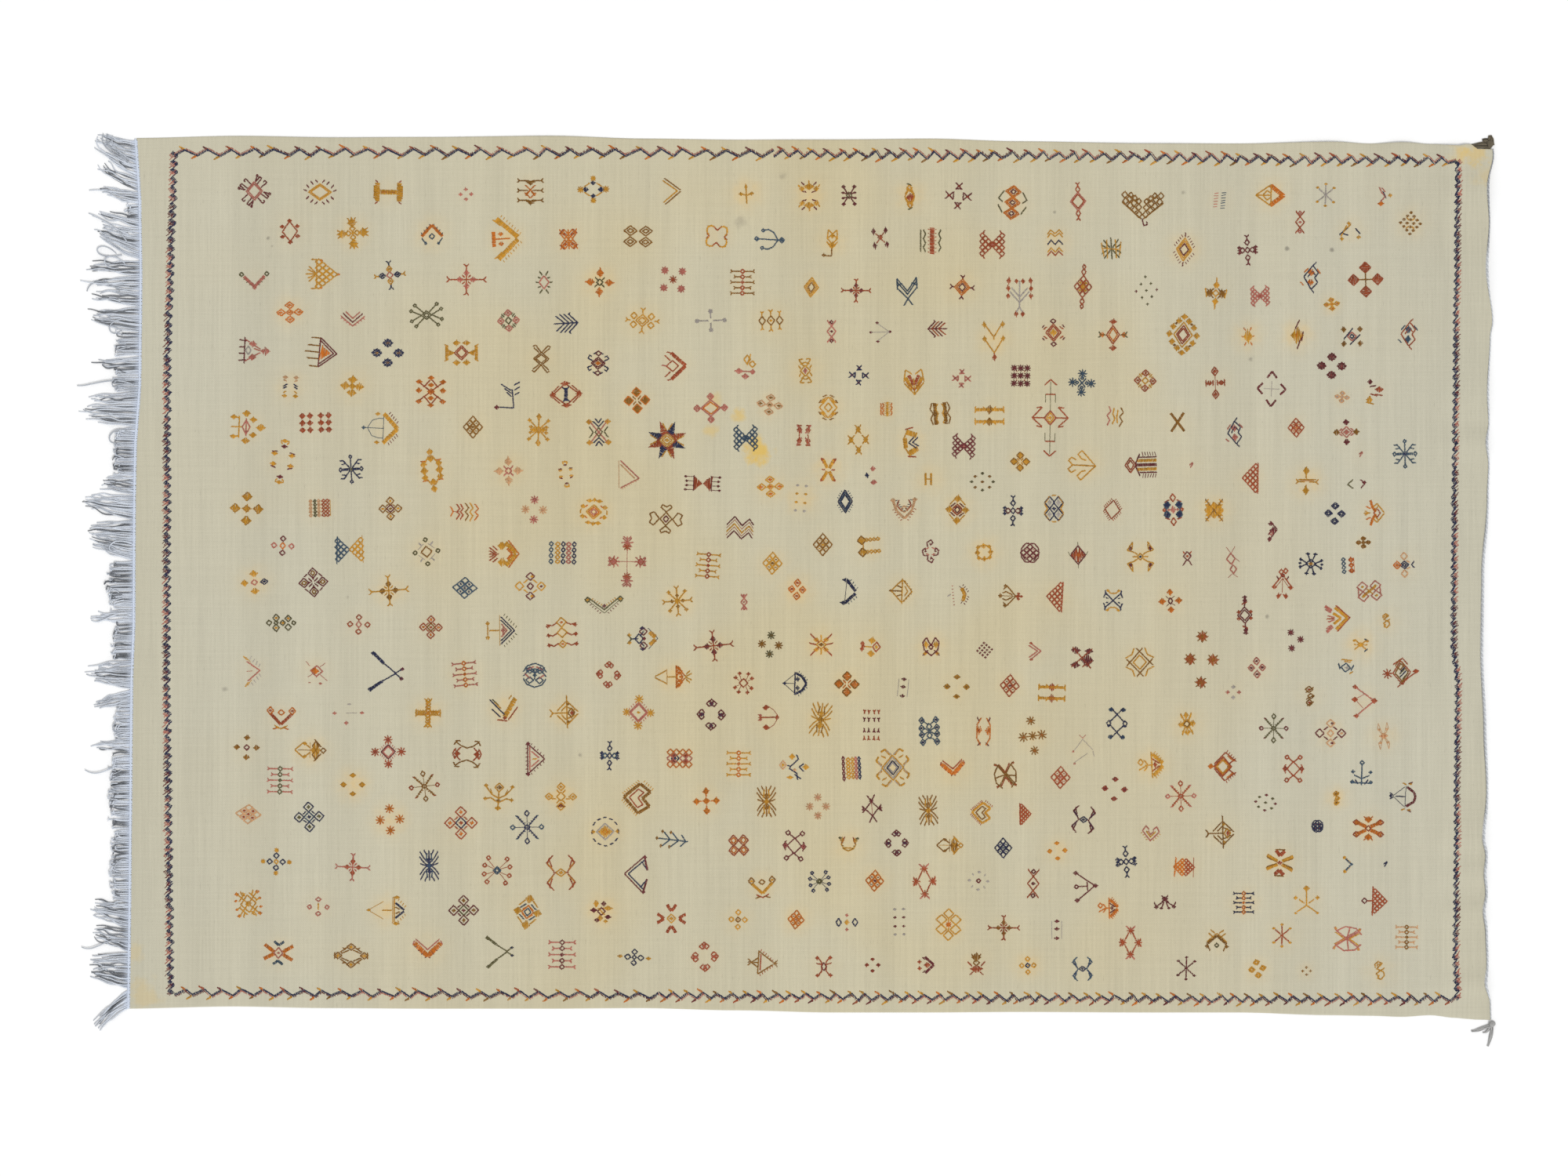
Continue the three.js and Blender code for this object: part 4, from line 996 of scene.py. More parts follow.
dart: thin 1 -18 0 16 0; ud thin 1 -6 16 16 0; seed 0 -18 0 3; ud seed 0 -6 17 3; seed 0 17 0 3
ringedDiamond: ring 0 14 16 / 10 12; seed 1 7 8; quad 0 12 11 18 6; ud ring 2 0 21 5 4; quad 2 17 14 20 9
spurCross: ring 0 12 17; ring 1 8 12; ud seed 0 0 24 7 6; lr seed 1 20 0 5 6; lr fork 2 14 0 21 0 7
netHeart: lr band 0 7 4 -12 15 10; lr band 1 6 1 -4 9 14; lr 0 0 -21 18 0 / 15 24 18 2; lr 1 0 -13 14 2; lr
  0 3 16 14 24; 0 0 -22 0 8
gridBlock: quad star 0 12 14 6; lr star 0 12 0 6; ud star 0 0 14 6; star 0 6; quad 1 6 7 8 9; quad seed 0 12
  14 3; lr seed 0 12 0 3
fiveX: quad 0 0 0 7 8; turn star 0 17 0 8; turn ring 0 9 0 3
doubleBar: ud band 0 6 -26 11 26 11; ud seed 1 0 11 8 9; quad 0 26 5 26 17 / 6 11 12 16
bigTotem: ring 0 11 13; ring 1 7 9; seed 1 4; lr 0 11 0 33 0 / 33 0 15 19 / 33 0 15 -16 / 15 20 25 18 / 15
  -17 25 -15; ud thin 2 0 12 0 66; ud 0 -11 60 0 70 11 60 / -9 43 9 43; quad thin 2 9 43 9 28
threeWaves: 0 -12 17 -8 8 -14 0 -8 -8 -12 -18; 1 -2 15 -4 4 1 -4 -3 -15; 2 10 17 15 8 9 0 15 -8 10 -18; 1 5
  12 4 0 6 -12
bracket: ud band 0 10 -8 20 10 12; ud 0 -14 8 -6 23; band 0 8 -12 -9 -12 9; 1 8 12 -6 0 8 -12 / 12 8 1 0 12
  -8; ud 2 -10 25 5 27
anchorRight: 0 -20 0 22 0; ud 0 22 0 -4 27 / -4 27 -11 20 -4 12 4 9 / -20 0 -28 8 -22 14 -14 9; 1 -8 0 10 0
slashLozenge: seed 0 12 16; 1 -4 12 4 28 / 8 -2 0 -25 / 11 7 8 -10; seed 2 4 7
cornerBlobs: quad seed 0 15 13 5 7; ring 1 8; 2 -15 -5 2 15 / -4 -15 15 3; ring 2 4
fourBlob: ring 0 10; seed 0 6; lr seed 1 18 0 6 7; ud seed 2 0 18 6 7; quad 0 8 7 13 2
kayak: lr fork 0 4 0 16 0 6; 0 -16 4 16 4; seed 0 -2 20 6 9 / -2 -16 6 9; ud 0 -2 6 -2 24; 1 -12 2 12 2
bigFive: seed 0 9 8; lr seed 0 21 0 10; ud seed 0 0 22 10; lr thin 1 13 0 21 8 29 0 21 -8 13 0; ud thin 1 0
  14 8 22 0 30 -8 22 0 14; thin 1 -6 0 0 6 6 0 0 -6 -6 0
dottedBands: chain 0 5 3 3 -17 -13 -17 13; chain 1 5 3 3 -9 -13 -9 13; chain 0 5 3 3 -2 -13 -2 13; chain 2 5
  4 3 7 -13 7 13 / 5 4 3 14 -13 14 13; thin 3 19 -15 19 15
zigFish: 0 -27 -9 -22 0 -27 9; thin 1 -24 0 -10 0; 1 -16 -14 -10 -5 -16 0 -10 5 -16 14 / -9 -14 -4 -6 -9 0
  -4 6 -9 14; 2 0 -16 6 -7 0 0 6 7 0 16; 3 8 -17 14 -7 8 0 14 7 8 17; 0 17 -15 24 -6 18 0 24 6 17 15
fourSmall: lr ring 1 16 0 5; ud ring 0 0 13 5; ring 2 5 6
netBow: tri 1 4 5.5 5.5 5; tri 0 4 -5.5 5.5 -5; thin 1 24 -25 24 25; 0 -24 -25 -21 25
ringPlus: ring 0 10; lr ring 1 21 0 4; ud ring 1 0 22 4; quad thin 2 4 15 15 5; quad 2 8 12 13 17
carp: ud 1 -27 12 -14 2 / -27 6 -15 0; 1 -27 0 -10 0; ud 1 -21 15 -12 7; ud seed 0 -4 15 8 9; ud band 0 8 3
  21 22 1; ud band 2 5 6 10 15 0; ud 2 8 25 27 0
fourBlob2: ud seed 0 0 16 8 7; seed 0 -18 0 7; ring 2 18 0 7 5; seed 2 18 0 3; ring 1 6 5
clusterCross: turn ring 0 18 0 10 9; turn ring 1 18 0 5 4; quad 0 2 2 9 8; turn 0 5 0 12 0; quad 0 17 11 11
  17
twinClusters: ring 0 -21 0 5 / -8 9 6 7 / -8 -9 6 7 / 4 0 5 / 14 8 6 / 14 -8 6 / 24 0 4; seed 1 -8 9 3 / -8
  -9 3 / 4 0 3 / 14 8 3; ring 0 -8 0 4
fivePearl: turn ring 0 14 0 7; turn seed 1 14 0 3; ring 2 7; seed 0 3; quad 0 4 8 8 4
halfKite: thin 0 -5 -28 -5 28; 0 -6 0 -24 0; ud seed 0 -27 13 4 5; 0 -27 -8 -27 8; ud 1 -3 25 22 0 / -3 19
  16 0; ud 2 -2 12 8 0; ud ticks 3 6 5 25 3 0 29; seed 2 1 0 4 7
fourStar: ud star 0 0 19 8; ud seed 2 0 19 4; lr star 1 17 0 8; lr seed 2 17 0 3
roundRosette: quad seed 0 9 20 6 4 / 20 9 5; ud seed 0 0 22 4; lr 0 24 -4 24 4; ring 0 14 13; ring 1 10 9;
  ring 2 6 5; quad 1 12 12 16 8
heartCross: ring 0 11 12; ring 1 5 6; lr 0 12 0 22 12 30 8 26 0 30 -8 22 -12 12 0; ud 0 0 13 10 21 7 26 0 22
  -7 26 -10 21 0 13
peakBlock: 0 -24 4 -10 20 4 4 17 17 25 6; thin 1 -24 -2 -10 14 4 -2 17 11 25 0; 2 -24 -9 -10 7 4 -9 17 4 25
  -6; thin 1 -24 -15 -10 1 4 -15 17 -2 25 -12; 0 -22 -20 -10 -6 4 -20 17 -8 24 -18
fiveColumns: chain 0 4 4 5 -20 -16 -20 16; chain 1 5 5 4 -8 -16 -8 16; chain 2 4 4 5 2 -16 2 16; chain 3 5 5
  4 12 -16 12 16; chain 2 4 4 5 22 -16 22 16
netCross2: thin 0 0 -24 0 24 / -16 0 16 0; lr star 0 24 0 11; lr ring 1 25 0 6; ud star 0 0 35 11; ud star 1
  0 27 7; ud 0 -7 46 0 40 7 46; lr 0 34 -8 31 0 34 8
fourOpen: ud ring 0 0 18 8 7; lr ring 1 20 0 8; ring 0 6; quad 1 5 12 12 6; ud seed 1 3 18 3; seed 0 20 0 3
veeDouble: lr thin 0 0 -16 30 8; lr 0 0 -10 28 12; lr ring 0 30 9 5; lr seed 1 30 9 3; seed 2 0 -3 4; lr
  ticks 1 5 4 24 10 4 -4; lr ticks 2 5 4 4 -16 26 3
hookStar: seed 0 6; turn 0 0 0 16 0; turn fork 0 15 0 23 0 6; quad 0 2 2 14 15; quad seed 0 15 17 4; turn
  seed 1 10 0 4
fourRose: ud ring 0 0 12 6 7; lr ring 0 10 0 6; ud seed 1 0 12 3; lr seed 1 10 0 3
tripleCrab: ring 0 0 20 9 / 0 1 9 / 0 -20 7; lr 1 8 20 17 15 27 17 / 8 1 17 -4 27 -1 / 7 -18 16 -23 27 -18;
  lr seed 1 25 14 4 / 25 -3 4 / 25 -21 4; ud seed 2 0 20 3
beaked: ud 3 -27 8 -20 0; ud seed 2 -24 7 4; 0 -20 0 -8 0; ring 0 -6 0 8 9; ud ring 1 2 13 7; ud seed 0 0 19
  5 4; ud band 2 8 13 12 24 2; ud thin 0 11 19 28 0; seed 1 3 0 4; ud 0 -4 5 3 14
ovalRing: ring 0 13 21; ring 1 10 17; ring 0 8 13; quad ticks 1 4 3 13 4 4 20
fanHeart: lr band 0 5 20 18 14 -2 0 -16; lr seed 0 20 18 5; lr ticks 1 6 5 17 18 2 -6; ring 0 0 1 6; lr
  ticks 2 5 4 3 -20 20 4; lr 2 9 18 13 8 5 -2
goldCross: ud seed 0 0 20 7 8; lr seed 0 15 0 7; quad 1 4 12 12 5; quad 2 2 8 8 3; ring 1 5 6; ring 2 9 10;
  quad 0 6 18 14 9
butterfly: quad ring 0 8 11 9 11; quad seed 1 8 11 4 6; seed 0 4; lr 2 17 -8 12 0 17 8; quad 2 17 9 8 23; ud
  2 -4 24 4 24
toothDiamond: ring 0 14 17; quad ticks 0 6 4 15 1 1 19
twoKeys: ud seed 0 -12 11 7 8; ud ring 1 -12 11 8; 0 -10 -5 -10 5; ud chain 0 4 3.5 3.5 -3 11 18 11
seedRing: turn seed 0 12 0 5 6; quad seed 0 10 10 4; turn seed 1 12 0 2; quad 0 5 13 13 5
fullLozenge: seed 0 13 16; ring 1 14 17; seed 2 4 5; ud thin 3 0 18 0 24; lr thin 3 15 0 18 6
fourWing: ring 0 6; seed 1 3; quad 0 5 4 13 9 24 12 / 24 12 14 27 / 14 27 15 13; quad seed 2 18 15 4 6; lr 0
  6 0 14 0
halfMoon: ticks 0 7 3 -8 20 -8 -20; band 1 7 7 -12 12 0 7 12; ud ticks 2 4 4 18 2 7 18; thin 2 3 -16 11 -8
  14 0 11 8 3 16; 3 -20 0 -14 2
treeArrow: thin 0 -20 0 10 0; ud 0 10 0 -6 18 -13 12; ud seed 0 -9 18 4; seed 0 -18 0 4 5; ud 0 -14 -5 -8 -8
  4 -2; seed 1 14 0 5; ud seed 1 15 5 3; seed 1 20 0 3
jewel: ud ring 0 0 22 5 7; quad seed 1 11 9 6 7; quad 2 16 6 12 0; seed 3 5 9; lr seed 3 8 0 3; quad 0 7 18
  15 14; quad ring 2 11 9 6 7; lr ring 0 16 0 3
crossBlock: lr seed 0 10 0 8 12; ud seed 0 0 8 9 8; quad 1 0 0 16 20; quad 0 6 4 16 10 / 8 14 14 8 / 10 20
  16 14
toothTri: seed 0 -4 -14 4 5; 0 -6 -18 9 4 -4 19; seed 0 -3 14 5 / 2 2 7 8; 0 -7 -6 2 4; ring 1 -2 -3 3 4
crownArrow: ud band 0 5 -6 23 -2 10 4 2; 1 -18 0 -6 0; ud 1 -2 10 6 17 19 1 / 2 6 8 12; ring 2 6 0 6 8; ud 0
  -14 12 -6 8; ud 1 -16 4 -10 0
smallPerson: ring 0 0 5 7 8; lr 0 2 -2 8 -12; seed 1 0 5 3; lr 1 4 10 8 13
faintChain: ring 0 -1 4 8 10; lr thin 0 0 14 8 26; ring 0 2 -15 6 8; lr thin 0 0 -23 9 -30; thin 0 8 4 14 -2
navyStar: quad seed 0 19 7 3 4 / 7 18 4 3; quad 0 0 0 7 18 / 6 0 19 7; ring 0 9 8; seed 1 5 4; lr seed 0 20
  0 3
twoColumns: chain 0 4 4 3.5 -6 -11 -6 11; chain 1 3 5 4.5 8 -10 8 10; chain 2 3 2 4.5 8 -10 8 10; thin 2 13
  -13 13 13
peachCross: ud ring 0 0 16 6 7; ring 2 -13 0 7; seed 2 -13 0 4; ring 1 8 7; 1 18 -6 13 0 18 6; ring 1 4 3;
  ud 0 4 8 10 4
hangTree: ring 0 -3 22 4 5 / 5 24 4 5; lr 0 0 17 16 -4; lr thin 0 0 10 12 -6; thin 0 0 12 0 -16; lr seed 0
  15 -6 5 / 7 -22 4 6; lr 0 2 -18 8 -26; lr 1 7 8 11 14; ring 1 0 16 3
fourPadX: ud seed 0 0 16 6 7; lr seed 0 15 0 7; ring 1 4 6; quad thin 1 2 4 8 9
urn: ring 0 13 15 / 9 10; quad seed 1 11 6 4; ud 0 0 16 2 36; ud seed 0 1 27 4 8; ud 1 -5 20 5 24; ud 0 -4
  33 5 33
fingerArrow: ud band 1 6 -2 20 20 0 / 5 -6 10 8 0; ud band 0 6 -20 24 -8 14; ud 0 -20 18 -10 11; 2 -18 0 -4
  0; ud 0 -16 6 -4 2; ud 2 0 24 24 0
knotCross: quad ring 0 12 9 10 9; band 1 5 -12 -8 12 8; 1 -6 6 6 -6; lr 0 20 -6 20 6; quad seed 1 12 9 3
trioStars: star 0 -7 15 6; seed 1 -7 15 2; star 0 10 1 6 / -7 -14 6; seed 1 -7 -14 2
hookBug: seed 0 7 5; quad 0 0 0 11 9; lr seed 0 12 7 3; 1 7 11 13 7 / 7 -12 13 -8; lr 0 8 0 12 0
paleVee: ud 0 14 0 -9 18; ud thin 1 -10 26 -2 16; ud ticks 2 4 7 14 4 -6 24; thin 0 -10 0 0 0; ud 1 -14 28
  -8 20
driftX: seed 0 8 7; ring 1 3 0 11 10; thin 1 -12 -12 -4 -6 / 8 8 18 16 / 10 -6 24 -16 / -10 8 -18 16; seed 1
  -8 -22 2 / 12 -22 3
bigFork: ud band 0 6 -28 34 -6 16; ud 0 -6 16 16 1 / 14 -1 30 10; ud seed 1 28 9 4; ud seed 0 -27 33 5
thickVee: lr band 0 6 0 -16 20 4; lr ring 1 20 9 6 7; lr seed 0 20 9 3; lr 2 0 -24 12 -18; ring 1 0 6 6 5;
  lr 1 4 -21 14 -25
faintDots: lr seed 0 25 0 4 3; seed 0 -4 -18 4; seed 1 2 16 3 2; thin 1 -4 0 16 0
fatCross: lr chain 0 4 5 5 5 0 19 0; ud chain 0 4 5 5 0 5 0 22; lr 0 22 -7 22 7; ud 0 -7 26 0 20 7 26; seed
  1 4; turn thin 1 4 2 20 2
goldVee: 1 -25 20 -12 4 0 -10; 2 -20 20 -10 8; 0 -16 14 -6 2; band 0 9 0 -14 22 18; 3 6 -20 25 2; seed 3 0
  -16 4; 1 -22 2 -8 -14; 3 -14 -18 4 -22; 0 10 18 16 24
fourGold: ud seed 0 0 18 6; lr seed 0 18 0 6; ring 1 5
lampKite: ud 0 -28 0 -12 14 0 4; ud seed 0 -10 12 4; thin 1 -22 0 0 0; thin 0 0 -14 0 14; seed 0 10 0 9 17;
  ud ring 1 10 8 6 8; ring 1 24 0 5; ud 1 8 20 20 6
thornDiamond: ring 0 13; ring 1 10; lr star 2 24 0 8; ud star 2 0 22 8; quad ticks 1 4 4 14 2 2 14; lr seed
  0 24 0 4; ud seed 0 0 22 4
hookFrame: quad 0 0 11 12 15 21 22 / 21 22 24 16 / 22 23 13 24; lr seed 1 18 0 6; quad 1 19 4 12 12; lr ring
  1 22 0 4 9
fourLone: ud seed 0 0 17 6 5; lr seed 0 17 0 6; ud ring 1 0 17 4 3; lr ring 1 17 0 4
snow2: ud thin 0 0 0 0 20; ud ring 0 0 23 4 5; lr thin 0 0 0 19 0; lr ring 1 24 0 4; quad 0 3 3 17 19; quad
  ticks 0 4 5 18 16 5 3; quad 1 14 18 19 19; ring 0 5 4
plant: seed 1 0 16 5; ring 0 0 16 8; lr 0 0 -4 12 2 24 16 / 0 -12 14 -4 24 -6 / 12 2 16 12; lr seed 0 24 18
  4 / 24 -6 4; seed 0 0 -22 6 5; 0 0 8 0 -20; seed 1 0 -8 4
crossRound: lr 0 0 22 14 17 21 6 / 0 -22 14 -17 21 -6 / 0 12 12 8 21 -2; 0 0 8 0 -8; lr 1 2 16 14 10; quad
  ring 0 9 -9 7 6; seed 0 4; lr 1 18 2 8 -6; lr 0 0 4 18 14
fourNet: lr ring 0 17 4 5 / 17 -4 5; ud ring 0 4 19 5 / -4 19 5; lr seed 1 17 0 5 4; ud seed 1 0 19 4 5; lr
  ring 0 21 0 4; ud ring 0 0 23 4
longKite: ud 0 -12 12 -33 1; thin 0 -11 -14 -11 14; 0 -11 0 8 0; 1 6 -21 6 21; ud 1 6 20 22 2; ring 1 12 0 6
  10; ud ring 1 12 10 5; ud 0 22 0 34 6 / 24 5 31 11; ud seed 1 10 16 4; seed 1 14 0 3
thinHooks: ring 0 8; quad thin 0 4 5 9 16 / 8 4 17 9; quad seed 0 8 17 4 / 15 9 4
navyKite: ud thin 0 -21 1 -2 17; thin 0 -21 0 0 0; 0 -1 -21 -1 21; ud band 0 5 0 19 12 13 20 0; ud ticks 1 5
  4 21 4 3 22; ud seed 0 4 8 4 5; seed 0 -20 0 4 3
tallKite: 0 4 -28 4 32; ud 0 -27 7 -22 0; 0 -24 0 4 0; ud 0 -14 4 2 20; ring 1 12 0 6 9; ud 0 4 22 24 2 / 2
  12 18 4; seed 2 13 0 4 5; ud seed 1 6 16 3; ud 0 -6 4 2 12
ringThorn: ring 0 17 18 / 14 15; ud star 1 0 24 8; lr star 1 22 0 7; quad ticks 0 4 4 17 3 3 18; seed 1 3
arrowBow: ud thin 0 -2 22 10 14 18 2; ud seed 0 -4 18 6; 0 -18 0 12 0; ud 0 -18 6 -12 0; seed 0 16 0 4 6; ud
  seed 1 -14 4 3
bush: ud 0 0 0 0 30; quad 0 0 4 10 14 18 28 / 0 -4 12 8 19 18; quad 1 6 8 4 24; seed 1 6 8; ud seed 0 0 12 5
  6; quad 0 4 20 10 31; lr 0 6 0 18 4
roseTent: 0 -13 -30 -13 30; 1 -9 -22 -9 22; ud 0 -11 26 18 0; ud ticks 0 5 4 18 2 -10 28; ud seed 0 -12 28
  4; ud 1 -6 14 8 2; 2 -4 0 4 0; ticks 0 8 4 -13 30 -13 -30
meshBlock: quad ring 0 6 11 6 / 17 11 6; lr ring 1 17 0 6; ring 1 6 0 6; ring 2 -8 0 7 8; seed 2 -8 0 3 4;
  quad seed 3 12 5 4; quad ring 1 11 6 5
swirl: 0 4 22 8 14 -6 0 -8 -4 6 -12 8 -24; seed 1 -4 18 6 / 22 0 6; ring 2 -20 2 6 8; seed 1 -20 2 3 4; 0 10
  0 18 6 / 10 0 18 -8; seed 1 -6 -20 6 4; 0 -12 2 -6 0; seed 2 2 -6 3 4; 0 2 -14 14 -22
fourRound: ud ring 0 0 18 7; lr ring 0 22 0 7 6; ring 0 8; quad 0 3 7 8 12; lr 0 9 -4 17 -4; ud seed 0 0 18
  3; lr seed 0 22 0 3; 1 -8 -18 8 -18; seed 1 0 -16 4
bigLeaf: band 0 6 -26 0 2 26 22 12 8 0 22 -14 2 -28 -26 0; 1 -16 0 0 16 10 10 0 0 10 -12 0 -18 -16 0; ticks
  2 9 5 2 30 -28 3 / 9 5 -28 -3 2 -31 / 5 5 26 14 6 30
fiveFull: turn seed 0 18 0 7; turn ring 1 18 0 4; seed 0 7; ring 1 4; turn 0 8 0 12 0
threeDots: seed 0 0 14 5 4 / 5 4 / 0 -17 5 4; lr thin 1 9 -18 9 14
madderX: seed 0 -12 13 9 8 / 12 13 8 6 / 10 -4 12 13 / -11 -14 9 7; quad 1 0 0 18 18; 1 2 -16 20 -4
hash: 0 -24 6 6 -26 / -6 26 24 -6 / -24 -6 6 26 / -6 -26 24 6; quad 1 14 14 26 8 / 14 14 10 26; ring 1 12 13
ringLattice: quad ring 0 14 6 5 6 / 13 20 5 6; quad 0 0 0 10 6; ring 0 0 8 5 6 / 0 -8 5 6; quad 0 2 12 10
  18; quad seed 1 13 20 3 / 14 6 3
twinLeaf: lr 0 5 25 12 12 12 -12 5 -25; lr seed 0 8 2 5 10; lr 1 8 18 12 26 / 5 -20 10 -26; lr seed 1 9 2 2
  5
fiveStars: star 0 0 28 8 / 0 -27 8; lr star 0 17 0 9; star 0 8; seed 1 0 28 3 / 0 -27 3; lr seed 1 17 0 3
ghostTent: thin 0 -4 26 2 20 8 26; thin 1 2 18 -14 -2 / 2 18 20 -2; seed 0 -16 -4 2 4 / -14 -26 2 4; thin 1
  -14 -24 10 -8 / 20 -4 22 -14
navyFrame: quad 0 0 16 10 27; quad seed 0 10 25 4; quad 0 0 16 13 3; lr ring 0 15 0 4 5; lr seed 0 15 -5 3;
  quad ring 1 12 25 3
zigRows5: chain 0 5 2.5 5 -14 -18 -14 18; chain 1 6 4 4 -5 -16 -5 16 / 5 3 4 3 -16 3 16; chain 2 5 2.5 5 9
  -16 9 16; chain 3 5 2.5 5 15 -16 15 16
bigKnot: ring 1 16 19; ring 2 11 13; ring 0 20 23; quad band 0 3.8 4 23 13 34 21 29 / 3.8 20 5 30 13 25 21;
  quad 1 2 24 11 32 / 20 2 26 12; quad 0 12 18 20 22; ring 1 8 9
fatVee: lr band 0 8 0 -10 20 10; lr 1 0 0 18 16; lr ticks 2 4 4 22 6 2 -16; lr 1 20 14 22 8
bigHookX: quad 0 0 0 12 18 18 22; quad 1 0 4 10 20; lr 0 12 18 20 4 18 -14 8 -24; quad seed 1 16 20 3; lr 0
  0 0 20 -4; 0 -12 18 12 -18 / -10 20 14 -16
ringX: ring 0 12 13; ud 0 -7 25 0 13 7 25; lr 0 18 -6 12 0 18 6; lr seed 0 15 0 4 5; seed 0 0 14 4 5; thin 1
  0 -12 0 12
fourHatch: ud seed 0 0 42 10 11; lr seed 0 21 0 10 12; ud star 1 0 42 11; lr star 1 21 0 11
smallPot: 1 -10 12 10 12 / -4 9 8 9; ring 0 0 -2 9 8; lr 0 10 -6 14 4; seed 2 2 -2 4 3; 1 8 -12 14 -8
turtle2: star 0 -26 0 9; seed 0 -26 0 4; ring 0 16 22; ring 1 -2 14 8 9; 0 -10 -26 12 -10 26 -2 / -14 16 4
  26 12 14; 2 -4 -2 6 6; 3 -4 -8 8 2; 2 0 -12 10 -4; seed 0 26 0 6 5; 1 -6 -20 4 -12; ring 1 12 17; 3 -2 2 8
  10
sChain: ring 0 -2 12 7 6 / 2 0 6 5 / 0 -12 6; 0 6 16 -8 6 / 8 2 -6 -6; seed 1 -2 12 3 / 0 -12 3; 0 8 -10 -4
  -18
roseLoop: seed 0 -18 26 5 / -18 3 6 / 18 2 6 / -14 -27 5; 1 -18 26 0 14 18 2 / 18 2 0 -14 -14 -27; thin 1
  -16 4 0 14 / -16 2 -2 -12
goldTotem: seed 0 0 16 5 7 / 0 -15 6 7; lr seed 0 11 0 5 7; ring 1 6; quad 0 4 6 9 18 / 8 12 10 20; ring 0 9
faintBug: seed 1 5 4; quad thin 0 2 2 10 14 / 2 4 8 24; quad seed 0 7 12 3; quad thin 0 10 14 8 24; seed 0 8
  6
fishGold: ring 0 -20 6 5 6; 0 -24 -8 -8 0 / -12 0 2 0; ud 0 -14 10 -8 2; 0 0 -24 0 24; ud band 0 7 2 20 20
  2; ud 1 0 12 14 2; ud ticks 0 5 4 20 4 4 24; seed 1 6 0 4 6
crestLeaf: seed 1 -22 0 6; ring 0 16 18; ring 2 11 12; ud 0 4 26 24 10 / 12 6 22 14 / -16 4 4 26; ud ticks 0
  5 5 22 10 4 28; ud 1 8 20 20 10; seed 0 12 0 4 6; ring 1 14 15
ringFrame: ring 0 12 13; quad 0 0 12 10 20; quad ring 0 12 21 4; lr seed 0 15 0 5 6; lr ring 1 15 0 3; lr 0
  14 -8 18 0 14 8
candle2: 0 0 20 0 -20; ring 0 0 21 4; lr 0 0 -8 14 -2 / 0 -16 20 -16; lr seed 0 16 4 4 / 17 -14 4; lr 1 6
  -18 12 -10
clusterNet: net 0 3 8 6; quad seed 1 8 6 3; seed 1 3
curlX: ring 1 7 / 4; quad thin 0 5 5 20 21; quad ring 0 17 22 4; quad thin 0 6 3 20 8; quad ring 0 23 8 4
goldWeb: ring 0 14 16; quad 0 2 2 20 22; quad seed 1 19 20 4; quad 0 4 20 16 6 / 12 24 8 14; turn 0 14 4 22
  8; seed 0 6; quad seed 1 22 8 3
faintRings: ud ring 0 0 13 5 4; lr ring 0 16 -1 4; 1 0 -6 0 6
thinKite: seed 0 -35 0 4 3; ud thin 0 -34 1 -8 16; 0 -10 0 8 0; thin 0 9 -24 9 24; 0 12 -22 12 22; ud band 1
  4 14 14 30 1; ud ticks 0 5 5 32 4 12 24; ud seed 0 16 24 6 4; ud 2 14 6 22 2
orangeX: lr band 0 7 8 2 26 14 / 7 8 -2 26 -12; ring 2 8 10; seed 2 3; ud band 1 5 0 14 9 21 / 5 0 14 -9 21
fourLatch: lr ring 0 24 0 7 6; ud ring 0 0 16 8 6; quad 0 4 10 18 4 / 6 16 20 6 / 10 12 16 14; lr seed 1 24
  0 4; ud seed 1 0 16 4; lr 0 30 -6 30 6
dottedRound: seed 0 13 12; ring 1 5; quad 2 8 24 14 21 / 18 18 22 12; lr seed 0 22 0 4; lr 2 24 -4 24 4; ud
  2 -3 26 3 26; ring 3 16 15
fourBoxes: quad ring 0 9 9 9 10; quad ring 1 9 9 5 6
bigAntler: ring 1 9 7; seed 1 4; lr 0 8 0 14 0; quad 0 12 2 26 18 14 32 / 16 10 22 26; quad 1 14 5 24 17;
  quad 0 24 18 20 28
bigLess: ud 0 -22 0 14 34; ud 1 -15 0 14 27; ud band 0 4 14 30 20 8; ud 1 8 24 19 10; ud seed 0 14 32 4
petals: seed 0 -10 14 5 8 / 12 6 9 5 / -2 -12 5 7; seed 1 4 14 5 6 / -14 2 7 5 / 12 -10 6 5 / -8 -16 5; 0 -6
  6 6 -6; ring 1 7; seed 0 8 -18 4
heartFour: ring 1 8; seed 1 4; turn band 0 6 14 0 20 5 26 8 / 6 14 0 20 -5 26 -8
wideCross: lr ring 0 12 0 6 5; ud ring 0 0 10 5; ring 0 4; lr seed 1 26 0 5 4
tentArrow: 0 -7 -20 -7 22; ud 0 -7 21 20 2; ud ticks 1 6 4 20 2 -6 23; 0 -26 0 -7 0; ud 0 -26 6 -20 0 / -20
  0 -8 8; 0 20 0 28 0; ud 0 28 6 22 0; 1 -3 -14 -3 16
roseFrog: lr 0 12 18 4 8 4 -8 12 -18; lr seed 0 12 16 4 / 12 -16 4; ring 1 5 7; lr 0 4 4 14 6
goldCup: lr seed 0 12 8 4 6; lr 0 14 2 8 -8 0 -11; 0 -8 -6 8 -6; lr ticks 1 4 4 16 10 10 -10; lr 2 8 14 12
  2; lr seed 1 16 12 3
fourClaw: ud star 0 0 23 7; lr star 0 15 0 7; ud 1 -9 32 0 24 9 32; lr 0 20 8 15 0 20 -8; quad 0 4 18 10 6
tinyCross: lr ring 0 15 0 5 7; seed 1 5 6; ud seed 2 0 13 3 4
smallArrow: ud band 0 5 -2 15 14 0; seed 1 2 0 6; ud seed 1 -12 6 4; ud 0 -6 14 -2 10
